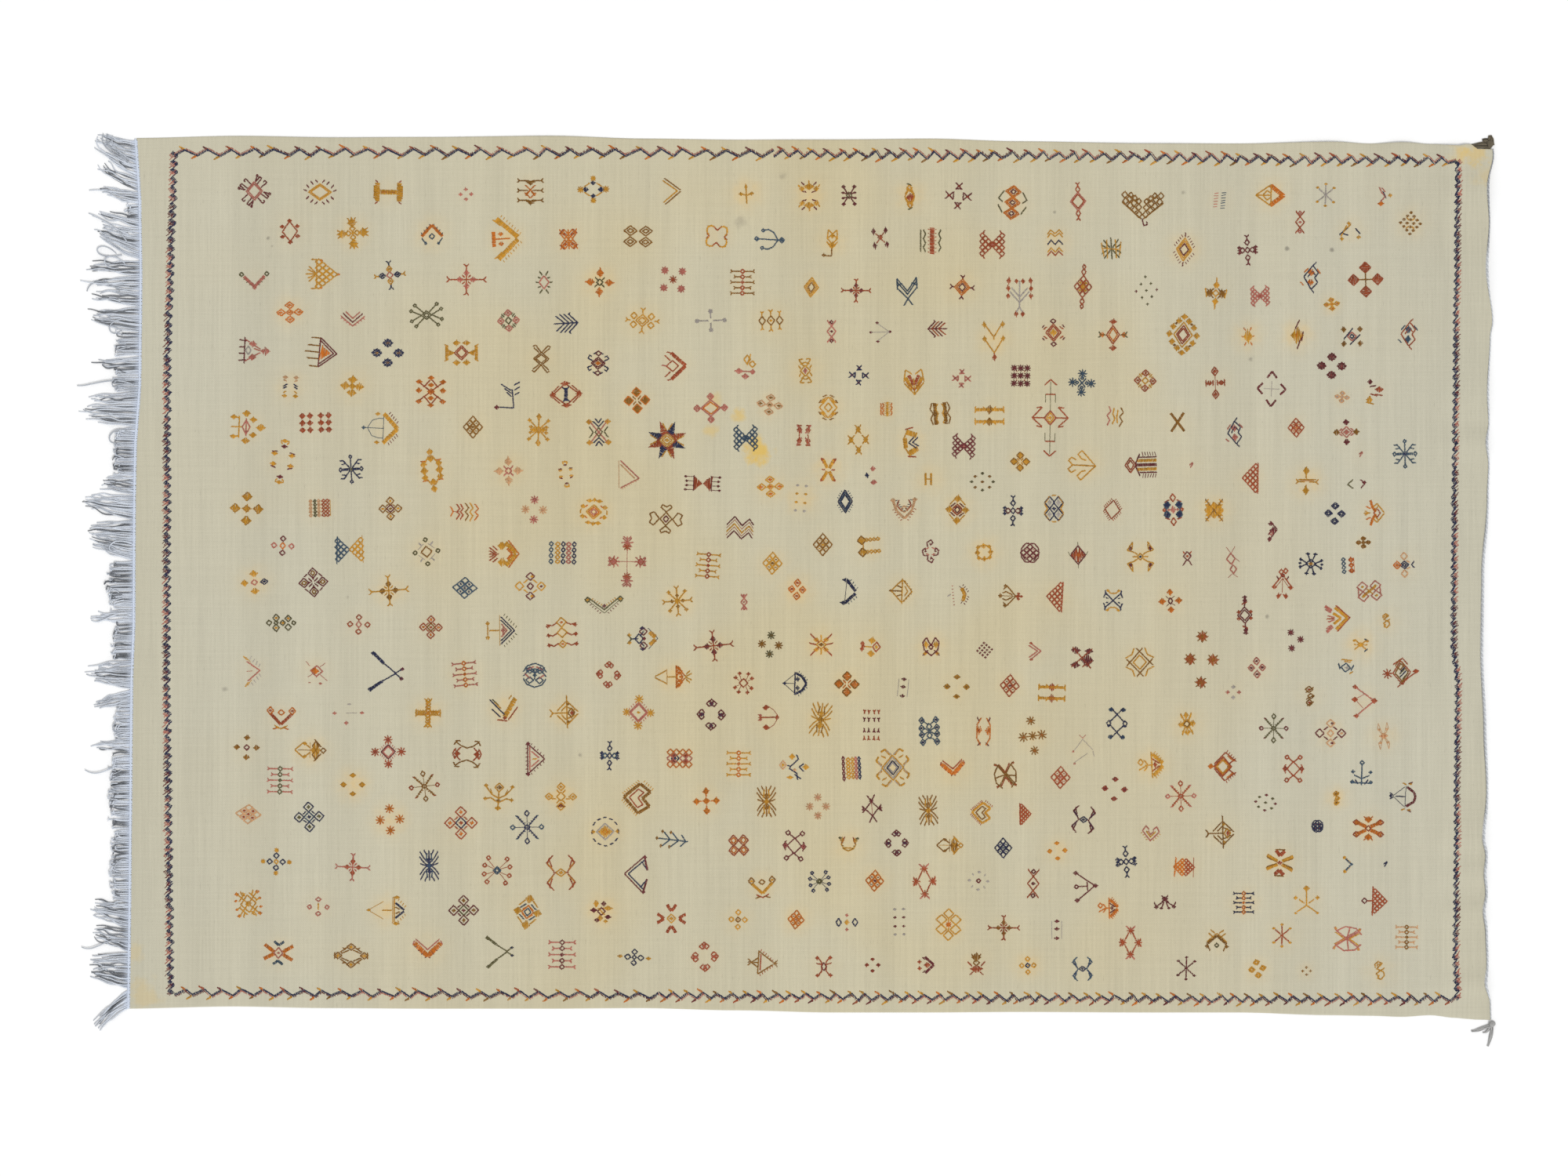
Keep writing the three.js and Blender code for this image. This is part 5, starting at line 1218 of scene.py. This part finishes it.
twoTone: seed 0 0 12 9; seed 1 0 -9 12 8; lr 0 9 18 4 12; lr 1 8 -4 16 4 / 6 -14 12 -20; ring 0 0 2 6 5
orangeKnot: quad band 0 7 4 3 24 12; quad ring 1 22 11 6 5; ud seed 0 0 16 7; ud 0 -8 22 0 12 8 22; ring 1 5
heartX: quad band 0 6 4 3 24 13; quad 1 6 2 24 9; ud band 2 7 0 13 8 22 / 7 0 13 -8 22; seed 2 5; ud 1 -9 24
  9 24
crouch: 0 -6 12 6 0 / -6 0 6 12; seed 0 0 6 6 5; lr 0 2 2 16 -8 20 0; lr seed 0 16 -9 4 / 7 -11 3; lr 0 2 0
  6 -10
netArrow: ring 1 -18 0 5; 0 -13 0 -4 0 / -3 -27 -3 27; tri 0 5 4.6 4.6 1
smallTent: lr band 0 5 0 10 18 -6; lr 1 0 14 18 -2; lr 0 18 -6 12 -18; lr seed 0 18 -10 4; lr 1 4 14 12 20 /
  8 8 16 14; ring 2 0 -8 4
starRose: ring 0 9 8; seed 2 5 4; quad 1 4 4 20 20; quad seed 0 9 9 5; lr 1 9 0 22 3; ud 0 0 8 0 18
smallFish: ud seed 1 -14 5 4 5; seed 1 -12 0 4; ud seed 0 3 12 7; ring 1 12 1 7 9; seed 0 12 1 3 5; 0 -8 0 4
  0
goldMask: lr 1 0 2 8 17 15 8 12 -6 0 -16; lr seed 0 9 4 5 8; lr 1 6 -6 15 -16; lr seed 0 11 -12 4; ring 1 4
  5
hatchRound: pips 0 4 4.4 4.4
roseVee: ud 0 12 0 -8 16 / 6 0 -10 11; ud seed 1 -6 15 3
netHour: tri 1 4 -5.5 5.5 21; tri 0 4 5.5 5.5 -21; thin 1 24 -25 24 25; 0 -24 -25 -21 25
"""
motifs = dict(line.split(": ") for line in charts.strip().replace("\n  ", " ").split("\n"))

# Where the motifs stand on the cloth: kind, place along and across, wools, then quarter turns and
# size where they aren't 0 and 1. They stand in loose rows, from the upper edge to the lower one.
layout = """
hookDiamond -1020 707 pm; eye -900 705 gm; axe -775 705 gb; fourDot -633 701 p 0 .75; totem -515 708 ko
fourCross -400 710 ng; chevron -255 707 kg; sprig -120 702 g; gate -5 698 gm; pawCross 68 699 mv
spindle 179 697 gbv; fourBow 268 698 mb; longDiamond 487 688 bp; twoBands 745 690 ps; sailArrow 841 699 og
snow 940 700 lg; scatter 1045 699 pgon

sixSeed -955 633 b 0 1.15; clover -840 630 g; tent -695 628 os; arrowComb -558 620 go; blockKnot -445 619 ob
fourDiamond -318 624 k; lobes -174 624 gb; trident -72 618 s; tulip 37 612 gk; fourPip 125 621 mb
threeBands 220 616 bv; hourglass 330 609 bp; medallion 367 686 omv; zigStack 445 612 gnb
blades 548 601 vg; heartNet 605 680 km; lozengeHook 681 600 gm; ringCross 797 599 m
doubleX 893 650 bp; slantBird 985 634 gn; pipDiamond 1095 648 kg

vee -1020 545 pv; tri5 -898 555 go; mixedCross -772 553 ngp; forkCross -632 545 bp; lozengeTick -490 540 vp
starCross -388 540 ov; quincunx -254 545 pb; ladder -127 540 bk; lozenge -1 531 gk
forkCross 81 525 bm 0 .75
doubleCheck 175 522 s; lozengeSpur 275 531 om; bouquet 380 515 lb; longNet 496 532 bg; dots 612 525 vm
cluster 739 520 kg; hourglass 820 515 pb 0 .75; notchLeaf 915 549 no; cloverBall 1013 545 bk

fiveSeed -955 485 o; wave -840 475 pm; lattice -705 480 v; seedTick -555 470 pv; feather -450 465 n
crownDiamond -310 470 g; faintCross -185 470 l; crown -75 470 kg; doubleX 36 450 pm; dart 126 449 ml
feather 230 455 mb 2 .8; ringedDiamond 442 448 bgm; fiveSeed 951 500 go 0 .6; doubleVee 333 435 gb
spurCross 551 444 bov; tasselDiamond 679 444 gbk; solidLozenge 798 441 go 0 .9; slashLozenge 888 443 gmo
cornerBlobs 988 441 kpn; notchLeaf 1093 445 bs

arrowSeeds -1021 415 mpl; combArrow -901 412 mok; fourRosette -776 411 ng; wingDiamond -641 411 gb
crossDiamond -495 400 k; crab -391 392 omn 0 .9; arrowDiamond -249 387 bp; flourish -121 385 pg
xTower -12 378 gp; fourBow 86 370 nm 0 .75; netHeart 187 356 gb; fourBow 274 364 pm 0 .7
gridBlock 382 369 mb; fiveX 494 356 s; seedTick 610 360 bg; scrollCross 738 356 bm; fourVee 841 345 ml
fourRosette 951 387 mp 0 .92; fiveSeed 970 330 al 0 .55; serpent 1028 341 bmg

fadedColumns -954 349 ang; fivePad -841 350 gk; latticeSeeds -697 340 ob; twig -550 330 nm; ring -450 335 bn
fourPad -320 324 ko 0 .95; cornerDiamond -185 310 po; fiveSeed -77 316 ak; roundel 30 311 gk
threeBands 138 308 go 0 .55; mirrorBands 235 300 kg; doubleBar 325 296 gk; bigTotem 436 292 bgv
threeWaves 554 295 pgk; xBar 669 284 k; netDiamond 886 274 bo 0 .85

seedComb -1031 275 gp; seedColumns -908 283 bp; bowArrow -787 273 gsm; netDiamond -620 275 k
snowRing -500 270 g; xMask -390 266 pnvg; star8 -265 251 bng; hourglass -121 255 s 0 .95
fourFigures -15 260 bp
fourX 85 252 gk 0 .9; bracket 183 247 gnb; hourglass 278 240 mp 0 .9; fourPad 381 212 gk 0 .7
notchLeaf 775 265 np 0 .95; fourBlob 978 266 pkm; mark 1005 225 p; snowCurl 1085 226 sn

ringMarks -969 212 gm; snowCurl -843 198 nv; longCross -695 196 go; starCross -555 195 ap
ringMarks -450 189 gm 0 .6; pennant -334 184 pa; bowComb -200 172 bm; fiveSeed -76 166 go; xCross 30 197 gb
triad 109 186 pn; smallH 213 180 gk; dotRing 312 175 vk 0 1.1; anchorRight 497 205 gk; fish 603 206 mgb
mark 695 205 p; netTriangle 803 182 bp; kayak 906 175 ga; twoMarks 996 171 vm

bigFive -1034 126 gk; dottedBands -900 127 avbg; fivePearl -771 126 kgm; zigFish -634 120 obkg
fourStar -508 124 pam 0 .95; roundRosette -399 120 gop; heartCross -267 107 km; peakBlock -132 91 mbg
dotColumns -20 145 gl; ovalRing 61 139 ns; fanHeart 169 124 anb; goldCross 266 124 gmb
ringCross 368 122 nm; butterfly 443 126 nlg; toothDiamond 550 124 bm; jewel 661 124 bnsp
crossBlock 736 123 gk; fourRing 957 117 n; crownArrow 1028 118 ogb

fourSmall -968 58 mpo; netHour -846 51 sg; ringPlus -705 47 kvl; carp -563 43 gbo
fiveColumns -457 45 sgnp; netCross2 -338 29 pb; ladder -190 22 bg; netDiamond -72 26 gk; netDiamond 20 60 kg
twoKeys 104 58 gk; fourSpiral 217 48 mp; seedRing 315 46 gk; knotNet 399 45 mp
fullLozenge 487 41 bmov; fourWing 601 38 gnm; smallPerson 687 34 mb; faintChain 768 30 p
toothTri 842 84 mp; navyStar 913 25 ng; fiveSeed 1009 64 k 0 .55

fourBlob2 -1020 -9 gpn; clusterCross -912 -9 mk 0 .95; forkCross -774 -24 gk; netDiamond -635 -19 sn 1 1.1
fourOpen -515 -16 mg; fourRose -27 -22 ob; bow 66 -26 ns; kiteNet 165 -25 gk
halfMoon 268 -32 pgml; hangTree 861 -12 bm; twoColumns 979 22 sbo; knotCross 1020 -25 pg
peachCross 1084 23 ano

twinClusters -972 -83 vg; fourSmall -829 -86 bbp; fivePearl -697 -91 bok; veeDouble -380 -49 vgm
hookStar -246 -43 gk; doubleX -124 -45 p 0 .7; treeArrow 363 -34 kb; netTriangle 445 -35 b
hookX 551 -42 ng; fourPadX 656 -43 om; urn 792 -69 mb; fingerArrow 960 -75 pgb
sHook 1051 -80 g 0 .85

halfKite -566 -97 gnpv; tripleCrab -457 -102 gbo; beaked -310 -112 nmgv; forkCross -180 -125 bm
fourStar -76 -123 vkk 0 .9; starRose 17 -123 gbk; smallFish 106 -127 gb; goldMask 218 -127 gm
hatchRound 316 -133 m; roseVee 407 -135 pb; madderX 494 -147 mb; fourHatch 713 -150 bk
trioStars 884 -115 mp; hookBug 1004 -123 gs

paleVee -1024 -171 pgl; driftX -909 -171 op; bigFork -778 -174 nm; ladder -635 -177 op
crossRound -507 -179 sp; fourNet -372 -178 bp 0 .9; longKite -254 -182 go
thinHooks -125 -193 b; navyKite -30 -194 ns; fourPad 64 -195 ok 0 .9
threeDots 167 -200 ml; fourLone 265 -200 kg 0 1.05; netDiamond 362 -198 bm; doubleBar 439 -211 gb 0 .92
hash 600 -155 kg; fourDot 771 -210 pl 0 .8; fourRose 814 -165 pm
sChain 911 -217 kb; smallPot 977 -163 sgl; turtle2 1079 -174 bkvn

thickVee -971 -253 bog; faintDots -848 -248 pl; fatCross -702 -248 go; goldVee -563 -241 gnvb
tallKite -452 -248 gkb; ringThorn -317 -247 pg; fourNet -184 -251 mn 0 1.05; arrowBow -80 -256 bp
bush 16 -260 gk; arrowRows 109 -270 mb; ringLattice 215 -281 sn; twinLeaf 314 -282 om
fiveStars 404 -290 kb; navyFrame 558 -267 ns; goldTotem 686 -268 gk
roseLoop 1011 -227 bp

fourGold -1034 -311 km; lampKite -918 -316 gk; thornDiamond -775 -319 mpb; hookFrame -631 -323 kb
roseTent -507 -332 mpg; ringCross -370 -326 ns 0 .95; meshBlock -242 -331 opnb; ladder -134 -341 og
swirl -33 -346 nga; zigRows5 72 -349 mgpn; bigKnot 148 -348 gln; fatVee 258 -350 obm
bigHookX 354 -361 kb; ghostTent 494 -314 pl; fishGold 622 -343 gb; crestLeaf 752 -346 bog
snow2 845 -276 vm 0 .95; fourOpen 949 -285 am; faintBug 1046 -290 ab

ladder -973 -371 vp 0 1.05; fourLone -840 -379 gk; snow2 -709 -382 kb; plant -573 -400 gk
fourRound -459 -401 gm; bigLeaf -318 -403 kbg; fiveFull -193 -409 ok; bush -83 -410 kg 0 .92
netDiamond 455 -366 bp; fourLone 554 -387 mb 0 1.05; snow2 675 -400 bp; dotRing 830 -412 mv
ringFrame 881 -350 bm; candle2 1006 -360 sn

clusterNet -1031 -433 ab; fivePearl -920 -438 nvs 0 1.3; fourStar -772 -443 ook 0 1.05
fivePearl -642 -449 bon 0 1.42; snow2 -521 -457 ns 0 1.1; dottedRound -378 -465 gonl
fourStar 11 -419 aap 0 .88; ringX 110 -423 mp; bush 213 -426 kg 0 .9; bigLeaf 311 -430 gkb 0 .7
netTriangle 390 -433 b 2 .7; bigAntler 497 -443 mn 0 .78; tallKite 748 -468 kgb; sChain 960 -404 gk 0 .7
boat 1084 -401 nmg

tree -255 -480 sk 1 1.1; fourBoxes -134 -490 bo; ringFrame -32 -491 mp 0 1.1; goldCup 67 -489 gvb
fourNet 155 -486 mn 0 .88; lampKite 252 -490 kg 0 .85; netDiamond 350 -495 ns 0 .9
fourLone 449 -500 go 0 .82
tickHeart 620 -468 pg 0 .85; knotNet 925 -455 nm 0 .6; orangeKnot 1018 -459 ob

starSeeds -980 -520 ng; forkCross -840 -530 pb 0 .88; bush -700 -527 ns 0 .92; curlX -576 -536 bs
bigAntler -459 -540 bg; bigLess -321 -543 mn; thickVee -91 -563 gkb 0 .95; curlX 14 -556 nv 0 .74
netDiamond 115 -555 om 0 .95; fourClaw 206 -556 bp; spacedSeeds 305 -555 lm 0 .8
doubleX 405 -560 bm 0 1.3; thinTriangle 500 -565 m; ringCross 575 -520 n 0 1.05; netBow 681 -530 ob 0 .72
heartX 856 -522 gkb; vee 980 -525 sg 1 .55; mark 1050 -525 n

goldWeb -1031 -597 go; faintRings -903 -602 pg; thinKite -776 -609 gnk; fivePearl -637 -609 mkv 0 1.3
goldCross -520 -612 gso 0 1.2; petals -385 -611 gm; heartFour -257 -624 bg; fiveRing -135 -626 gk 0 .95
netDiamond -29 -626 ob 0 .85; tinyCross 64 -631 ngp; dotColumns 160 -630 ml; hexNet 250 -635 go
forkCross 351 -641 bk 0 .8; threeDots 448 -643 ml; fishGold 544 -605 om 0 .8; crouch 646 -594 m
ladder 790 -595 on 0 .85; tripod 905 -590 g; netArrow 1029 -592 bm

fatVee -703 -681 opn 0 1.2; bigFork -571 -685 vn 0 .8; fourClaw 583 -668 bp 0 .95; smallTent 741 -665 kgv
snow 860 -655 bg; bigHookX 979 -661 pg 1 1.1; ladder 1088 -658 ka 0 .92

orangeX -976 -687 osp; fourLatch -843 -692 kg; ladder -457 -690 mp 0 1.12; wideCross -325 -695 ng
fourNet -196 -694 bp; tentArrow -91 -705 kb; roseFrog 22 -712 bm; fourLone 111 -709 mb 0 .62
smallArrow 209 -709 mb; twoTone 301 -707 kb; fiveRing 395 -710 gn 0 .85; bigAntler 495 -716 sn 0 .68
snow 685 -715 m; fourRing 815 -716 g 0 .85; fourDot 905 -720 k 0 .55; sHook 1039 -720 g 0 1.1
"""


# A band or wedge: satin stitches across a line, as long as the band is wide there
def sewBand(width, points):
    return sewLine(points, stitching["satinPitch"], width, stitching["satinWidth"], np.pi / 2)


def sewWedge(first, last, points):
    steps = max(2, round(np.hypot(*(points[1] - points[0])) / stitching["satinPitch"]))
    return sewLine(points, stitching["satinPitch"], np.linspace(first, last, steps),
                   stitching["satinWidth"], np.pi / 2)


# A ring: a line round the four corners of a lozenge
def sewRing(x, y, wide, high):
    return sewLine([(x + wide, y), (x, y + high), (x - wide, y), (x, y - high), (x + wide, y)])


# Ticks: single stitches that stand out square to a line
def sewTicks(count, length, points):
    run = points[1] - points[0]
    share = (np.arange(int(count)) + 0.5) / int(count)
    out = np.array([run[1], -run[0]]) / np.hypot(*run)
    place = points[0] + share[:, None] * run + out * length / 2
    return np.column_stack([place, np.full(len(share), np.arctan2(out[1], out[0]) + stitching["tickSlant"]),
                            np.full(len(share), length), np.full(len(share), stitching["tickWidth"])])


# A stem and what stands at its end: a small ring, two prongs, or a turned-back hook
def sewStem(kind, points, size):
    run = (points[1] - points[0]) / np.hypot(*(points[1] - points[0]))
    aside = np.array([-run[1], run[0]])
    tip = points[1]
    stem = sewLine(points)
    if kind == "curl":
        middle = tip + run * size
        return np.concatenate([stem, sewRing(*middle, size, size)])
    if kind == "fork":
        prong = (run * 0.75 + aside * 0.75) * size, (run * 0.75 - aside * 0.75) * size
        return np.concatenate([stem, sewLine([tip, tip + prong[0]]), sewLine([tip, tip + prong[1]])])
    corner = tip + aside * size
    return np.concatenate([stem, sewLine([tip, corner, corner - run * size * 0.8])])


# One stroke of a chart as stitches. Its sizes are read as points from the first, second or third
# number on, whichever the kind has.
def sewStroke(kind, sizes, scale):
    pairs = [np.array(sizes[start:], float).reshape(-1, 2) * scale if (len(sizes) - start) % 2 == 0
             else None for start in range(3)]
    scaled = [value * scale for value in sizes]
    if kind == "line":
        return sewLine(pairs[0])
    if kind == "thin":
        return sewLine(pairs[0], *stitching["thin"])
    if kind in ("ring", "seed"):
        x, y, wide, high = (0, 0, *scaled, scaled[-1])[:4] if len(scaled) < 3 else (*scaled, scaled[2])[:4]
        return (sewRing if kind == "ring" else sewLozenge)(x, y, wide, high)
    if kind == "band":
        return sewBand(scaled[0], pairs[1])
    if kind == "wedge":
        return sewWedge(scaled[0], scaled[1], pairs[2])
    if kind == "ticks":
        return sewTicks(sizes[0], max(scaled[1], 3), pairs[2])
    if kind == "star":
        x, y, r = (0, 0, *scaled)[-3:]
        arms = [(r, 0), (0, r), (r * 0.75, r * 0.75), (r * 0.75, -r * 0.75)]
        return np.concatenate([sewLine([(x - a, y - b), (x + a, y + b)]) for a, b in arms])
    if kind in ("net", "pips", "tri", "chain"):
        rows = int(sizes[0])
        wide, high = scaled[1], scaled[2]
        if kind == "tri":
            middles = [(scaled[3] + i * wide, (2 * j - rows + 1 + i) * high)
                       for i in range(rows) for j in range(rows - i)]
        elif kind == "chain":
            middles = np.linspace(scaled[3:5], scaled[5:7], rows)
        else:
            middles = [((i - j) * wide, (i + j - rows + 1) * high) for i in range(rows) for j in range(rows)]
        part, size = (sewLozenge, 0.55) if kind == "pips" else (sewRing, 0.9)
        return np.concatenate([part(x, y, abs(wide) * size, high * size) for x, y in middles])
    return sewStem(kind, np.array(sizes[:4], float).reshape(2, 2) * scale, scaled[4])


copyWays = {  # each copy: mirror in x, quarter turns
    "one": [(1, 0)], "lr": [(1, 0), (-1, 0)], "ud": [(1, 0), (-1, 2)],
    "quad": [(1, 0), (-1, 0), (1, 2), (-1, 2)],
    "turn": [(1, n) for n in range(4)], "spin": [(side, n) for side in (1, -1) for n in range(4)],
}


# A stroke's copies: mirrored in x where asked, then turned by quarter turns about the middle
def sewCopies(stitches, way):
    copies = []
    for side, quarters in copyWays[way]:
        copied = stitches.copy()
        turn = quarters * np.pi / 2
        x, y = copied[:, 0] * side, copied[:, 1].copy()
        copied[:, 0] = x * np.cos(turn) - y * np.sin(turn)
        copied[:, 1] = x * np.sin(turn) + y * np.cos(turn)
        copied[:, 2] = (copied[:, 2] if side > 0 else np.pi - copied[:, 2]) + turn
        copies.append(copied)
    return np.concatenate(copies)


def sewMotif(kind, centre, letters, quarterTurns, scale):
    tone = rng.uniform(0.25, 0.75)
    quarterTurns += rng.normal(0, 0.035)
    for stroke in motifs[kind].split(";"):
        first, *others = stroke.split("/")
        words = first.split()
        way = words.pop(0) if words[0] in copyWays else "one"
        shape = words.pop(0) if words[0].isalpha() else "line"
        letter = letters[min(int(words[0]), len(letters) - 1)]
        for sizes in (words[1:], *(other.split() for other in others)):
            stitches = sewStroke(shape, [float(size) for size in sizes], scale)
            keepStitches(letter, sewCopies(stitches, way), centre, quarterTurns, tone)


# The dye that has run out of each motif, by its first wool
dyed = {"place": [], "reach": [], "strength": []}
bleedReach = 25
bleedStrength = {"g": 0.55, "o": 0.5, "b": 0.20, "p": 0.12, "a": 0.3, "k": 0.28}
for entry in layout.replace("\n", ";").split(";"):
    if entry.strip():
        kind, along, across, letters, *rest = entry.split()
        turns, scale = (float(value) for value in (rest + ["0", "1"][len(rest):]))
        sewMotif(kind, (float(along), float(across)), letters, turns, scale)
        dyed["place"].append((float(along), float(across)))
        dyed["reach"].append(bleedReach * scale)
        dyed["strength"].append(bleedStrength.get(letters[0], 0.0) * rng.uniform(0.3, 1.2))
stitchCount = sum(len(rows) for letter in sewn for rows in sewn[letter])
print("motifs:", len(dyed["place"]), "stitches:", stitchCount)


# How much dye has run into the cloth at a place: for each motif its strength times a bell curve of
# the distance from it, the largest taken.
def markBleed():
    bleed = np.zeros_like(gridAlong)
    for place, reach, strength in zip(dyed["place"], dyed["reach"], dyed["strength"]):
        away = np.hypot(gridAlong - place[0], gridAcross - place[1]) / reach
        bleed = np.maximum(bleed, strength * np.exp(-away**2))
    addTone(clothSheet, "dyeBleed", np.concatenate([bleed.ravel(), np.zeros(bleed.size)]))


markBleed()


# Every stitch is a small pad: a four-cornered foot in the cloth and a ridge of two points over it
padFoot = [(-0.5, -0.46), (0.5, -0.54), (0.5, 0.46), (-0.5, 0.54), (-0.36, 0), (0.36, 0)]
padFaces = [(0, 1, 5), (0, 5, 4), (2, 3, 4), (2, 4, 5), (3, 0, 4), (1, 2, 5), (0, 3, 2), (0, 2, 1)]


def makeStitches(letter):
    name, colour, shadow = wools[letter]
    rows = np.concatenate(sewn[letter])
    count = len(rows)
    x = rows[:, 0] + rng.normal(0, stitching["placeJitter"], count)
    y = rows[:, 1] + rng.normal(0, stitching["placeJitter"], count)
    turn = rows[:, 2] + rng.normal(0, stitching["angleJitter"], count)
    length = rows[:, 3] * rng.uniform(0.9, 1.1, count)
    width = rows[:, 4] * rng.uniform(0.85, 1.15, count)
    foot = np.array(padFoot, float)
    along = foot[None, :, 0] * length[:, None]
    aside = foot[None, :, 1] * width[:, None]
    px = x[:, None] + along * np.cos(turn)[:, None] - aside * np.sin(turn)[:, None]
    py = y[:, None] + along * np.sin(turn)[:, None] + aside * np.cos(turn)[:, None]
    ridge = np.array([0, 0, 0, 0, 1, 1])
    tall = stitching["height"] * rng.uniform(0.75, 1.2, count)
    pz = faceAt(px, py) + np.where(ridge[None] > 0, tall[:, None], -stitching["sunk"])
    points = np.stack([px, py, pz], -1).reshape(-1, 3)
    faces = (np.array(padFaces)[None] + len(foot) * np.arange(count)[:, None, None]).reshape(-1, 3)
    finish = makeYarnFinish(name + " wool", (*colour, 1), (*shadow, 1), stitching["twist"],
                            stitching["toneSpread"])
    piece = addPiece(name.replace(" ", "_") + "_needlework", points, faces, finish)
    tone = np.clip(rows[:, 5] + rng.normal(0, stitching["toneJitter"], count), 0, 1)
    addTone(piece, "tone", np.repeat(tone, len(foot)))
    print(name, count, "stitches")
    return piece


needlework = [makeStitches(letter) for letter in wools if sewn[letter]]


# A plain pale floor under the rug
ground = {"reach": 12.0, "colour": (0.86, 0.86, 0.86, 1), "roughness": 0.8, "specular": 0.2}


def makeFloor():
    floor = bpy.data.meshes.new("floor")
    reach = ground["reach"]
    floor.from_pydata([(-reach, -reach, 0), (reach, -reach, 0), (reach, reach, 0), (-reach, reach, 0)],
                      [], [(0, 1, 2, 3)])
    finish, _, shader = finishSteps("pale floor")
    shader.inputs["Base Color"].default_value = ground["colour"]
    shader.inputs["Roughness"].default_value = ground["roughness"]
    shader.inputs["Specular IOR Level"].default_value = ground["specular"]
    floor.materials.append(finish)
    plane = bpy.data.objects.new("floor", floor)
    bpy.context.collection.objects.link(plane)


# Soft even light: a wide lamp so far away that the rug is lit alike from end to end, and a white
# surround. The slope and bearing are in degrees.
lighting = {"slope": 34, "bearing": 35, "spread": 0.35, "strength": 1.5, "surround": 0.80}


def addLamp():
    lamp = bpy.data.lights.new("far soft lamp", "SUN")
    lamp.angle, lamp.energy = lighting["spread"], lighting["strength"]
    holder = bpy.data.objects.new("far soft lamp", lamp)
    holder.rotation_euler = (math.radians(lighting["slope"]), 0, math.radians(lighting["bearing"]))
    holder.location = (0, 0, 3)
    bpy.context.collection.objects.link(holder)


makeFloor()
addLamp()
world = bpy.data.worlds.new("even surround")
world.use_nodes = True
world.node_tree.nodes["Background"].inputs["Color"].default_value = (1, 1, 1, 1)
world.node_tree.nodes["Background"].inputs["Strength"].default_value = lighting["surround"]
bpy.context.scene.world = world
bpy.context.scene.view_settings.view_transform = "Standard"
print("floor and light made")
